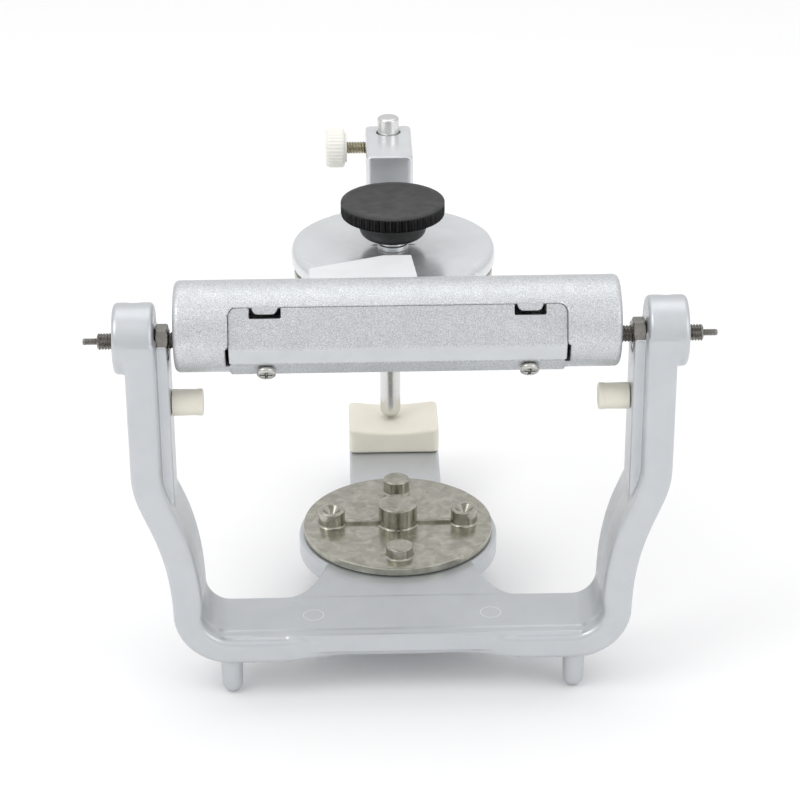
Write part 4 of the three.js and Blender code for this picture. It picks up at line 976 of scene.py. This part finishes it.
LOWER_KNOB_TOP = DECK - DECK_THICK - PLATFORM_LIP - GAP
lower_knob_profile = rounded_profile([
    (0, LOWER_KNOB_TOP - 7.4), (9.5, LOWER_KNOB_TOP - 7.4, 0.8), (11.5, LOWER_KNOB_TOP - 7.0, 0.5),
    (11.5, LOWER_KNOB_TOP - 4.3, 0), (11.5, LOWER_KNOB_TOP - 1.6, 0.4), (10.6, LOWER_KNOB_TOP - 1.2, 0.3),
    (6.2, LOWER_KNOB_TOP - 1.2, 0.4), (6.0, LOWER_KNOB_TOP, 0.2), (CLAMP_BORE, LOWER_KNOB_TOP, 0.1),
    (CLAMP_BORE, LOWER_KNOB_TOP - 5, 0), (0, LOWER_KNOB_TOP - 5)], 4)
add_turned("clamp_knob_lower", lower_knob_profile, "z", (0, PLATE_Y, 0), "lower_clamp", "black_plastic",
           ["lower_clamp_knob"], 336, ribbed(56, 0.5, LOWER_KNOB_TOP - 7.0, LOWER_KNOB_TOP - 1.55, 0.7),
           degrees=60)

PIN_RADIUS, PIN_TOP = 3.3, 21.4
PIN_TIP = TABLE_TOP - TABLE_DISH - TABLE_DIMPLE + GAP
pin_profile = rounded_profile([
    (0, PIN_TIP), (0.9, PIN_TIP + 0.08, 0.3), (PIN_RADIUS - 0.5, PIN_TIP + 1.8, 0.5),
    (PIN_RADIUS, PIN_TIP + 2.9, 0.8), (PIN_RADIUS, -40, 0), (PIN_RADIUS, PIN_TOP - 0.5, 0.35),
    (PIN_RADIUS - 0.6, PIN_TOP, 0.3), (0, PIN_TOP)], 5)
add_turned("chrome_pin", pin_profile, "z", (UPPER_SHIFT, PIN_Y, 0), "pin", "pin_chrome", ["incisal_pin"])

thumb_profile = rounded_profile([
    (0, 12.9), (4.5, 12.9, 0.2), (4.5, 13.5, 0.15), (5.5, 13.65, 0.2), (6.1, 14.2, 0.4), (6.1, 16.4, 0),
    (6.1, 18.5, 0.5), (5.3, 19.5, 0.5), (0, 19.5)], 4)
THUMB_SCREW = (UPPER_SHIFT, PIN_Y, THUMB_Z)
add_turned("thumb_knob", [(r, -a) for r, a in thumb_profile], "x", THUMB_SCREW, "thumb",
           "white_plastic", ["thumb_screw_head"], 360, ribbed(34, 0.14, -18.9, -14.0, 0.8), degrees=60)

stud_rows = [(0.0, 3.6), (1.5, 3.6), (1.7, 3.8)]
stud_rows += thread_rows(THUMB_STUD_RADIUS, 4.0, 17.3, 0.09)
stud_rows += [(1.6, 17.6), (0.0, 17.7)]
add_turned("thumb_stud", [(r, -a) for r, a in stud_rows], "x", THUMB_SCREW, "thumb", "screw_steel",
           ["thumb_screw_stud"], 40, threaded(THUMB_STUD_RADIUS, 0.34, 0, 20), "plated_stud", 50)

# ---------------------------------------------------------------- return springs
COIL_TURNS, COIL_RADIUS, COIL_WIRE, COIL_LENGTH = 4, 1.75, 0.22, 4.9
DOWN_PATH = np.array((0.0, math.cos(PATH), -math.sin(PATH)))
ACROSS_PATH = np.array((0.0, math.sin(PATH), math.cos(PATH)))


def add_coil(name, node):
    """A spring between the condylar block and the end of its path."""
    low, high = row_mm(node)
    middle = (low + high) / 2
    steps, sides = 32 * COIL_TURNS, 10
    points, faces = [], []
    for i in range(steps + 1):
        angle = 2 * math.pi * COIL_TURNS * i / steps
        outwards = np.array((math.cos(angle), 0.0, 0.0)) + math.sin(angle) * ACROSS_PATH
        centre = middle + COIL_RADIUS * outwards + (i / steps - 0.5) * COIL_LENGTH * DOWN_PATH
        for k in range(sides):
            turn = 2 * math.pi * k / sides
            points.append(centre + COIL_WIRE * (math.cos(turn) * outwards + math.sin(turn) * DOWN_PATH))
    for i in range(steps):
        for k in range(sides):
            a, b = i * sides + k, i * sides + (k + 1) % sides
            faces.append((a, a + sides, b + sides, b))
    faces.append(tuple(range(sides)))
    faces.append(tuple(steps * sides + k for k in reversed(range(sides))))
    piece = add_mesh(name, points, faces, "upper_body", "spring_steel", [node])
    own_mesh(piece)


for name, _ in SIDES:
    add_coil(f"coil_spring_{name}", f"return_spring_{name}")

# ---------------------------------------------------------------- stage
FLOOR_REACH, FLOOR_DROP = 6.0, 0.0002  # the drop keeps the feet clear of the floor
floor_mesh = bpy.data.meshes.new("floor")
floor_corners = [(x * FLOOR_REACH, y * FLOOR_REACH, 0) for x, y in ((-1, -1), (1, -1), (1, 1), (-1, 1))]
floor_mesh.from_pydata(floor_corners, [], [(0, 1, 2, 3)])
floor = bpy.data.objects.new("floor", floor_mesh)
bpy.context.scene.collection.objects.link(floor)
floor.location.z = -FLOOR_DROP
floor_material = bpy.data.materials.new("pale_floor")
floor_material.use_nodes = True
floor_shader = floor_material.node_tree.nodes["Principled BSDF"]
floor_shader.inputs["Base Color"].default_value = (0.94, 0.94, 0.94, 1)
floor_shader.inputs["Roughness"].default_value = 0.9
floor_shader.inputs["Specular IOR Level"].default_value = 0.1
floor_mesh.materials.append(floor_material)

world = bpy.data.worlds.new("studio")
bpy.context.scene.world = world
world.use_nodes = True
sky_nodes, sky_links = world.node_tree.nodes, world.node_tree.links
background = sky_nodes["Background"]
direction = sky_nodes.new("ShaderNodeTexCoord")
split = sky_nodes.new("ShaderNodeSeparateXYZ")
sky_links.new(direction.outputs["Generated"], split.inputs["Vector"])
ramp = sky_nodes.new("ShaderNodeValToRGB")
ramp.color_ramp.elements.remove(ramp.color_ramp.elements[1])
SKY_LEVELS = ((0.0, 0.64), (0.48, 0.70), (0.62, 0.79), (0.8, 0.89), (1.0, 1.0))  # from below to above
for at, level in SKY_LEVELS:
    stop = ramp.color_ramp.elements[0] if at == 0.0 else ramp.color_ramp.elements.new(at)
    stop.position = at
    stop.color = (level, level, level * 1.01, 1)
remap = sky_nodes.new("ShaderNodeMapRange")
remap.inputs["From Min"].default_value = -1.0
sky_links.new(split.outputs["Z"], remap.inputs["Value"])
sky_links.new(remap.outputs["Result"], ramp.inputs["Fac"])
sky_links.new(ramp.outputs["Color"], background.inputs["Color"])
background.inputs["Strength"].default_value = 0.99


LIGHTS_AIM = Vector((0, 0, 0.06))


def area_light(name, place, size, power):
    """A soft rectangular light that points at the middle of the object."""
    data = bpy.data.lights.new(name, "AREA")
    data.shape = "RECTANGLE"
    data.size, data.size_y = size
    data.energy = power
    light = bpy.data.objects.new(name, data)
    bpy.context.scene.collection.objects.link(light)
    light.location = place
    light.rotation_mode = "QUATERNION"
    light.rotation_quaternion = (LIGHTS_AIM - Vector(place)).to_track_quat("-Z", "Y")


area_light("key", (-0.55, -0.35, 0.75), (0.5, 0.5), 1.8)
area_light("fill", (0.7, -0.5, 0.5), (0.6, 0.6), 1.1)
area_light("top", (0.0, 0.25, 0.9), (0.8, 0.6), 1.05)

scene = bpy.context.scene
scene.view_settings.view_transform = "Standard"
scene.view_settings.look = "None"

# ---------------------------------------------------------------- camera
CAMERA_PLACE = (-0.01436, -0.6958, 0.40435)
CAMERA_LENS = 115.65
elevation, yaw, roll = math.radians(26.30), math.radians(1.267), math.radians(-0.345)
forward = Vector((math.sin(yaw) * math.cos(elevation), math.cos(yaw) * math.cos(elevation),
                  -math.sin(elevation)))
right = forward.cross(Vector((0, 0, 1))).normalized()
up = right.cross(forward)
camera_right = right * math.cos(roll) + up * math.sin(roll)
camera_up = up * math.cos(roll) - right * math.sin(roll)
camera_data = bpy.data.cameras.new("camera")
camera_data.sensor_width = 36.0
camera_data.lens = CAMERA_LENS
camera = bpy.data.objects.new("camera", camera_data)
scene.collection.objects.link(camera)
camera.matrix_world = Matrix((
    (camera_right.x, camera_up.x, -forward.x, CAMERA_PLACE[0]),
    (camera_right.y, camera_up.y, -forward.y, CAMERA_PLACE[1]),
    (camera_right.z, camera_up.z, -forward.z, CAMERA_PLACE[2]),
    (0, 0, 0, 1)))
scene.camera = camera
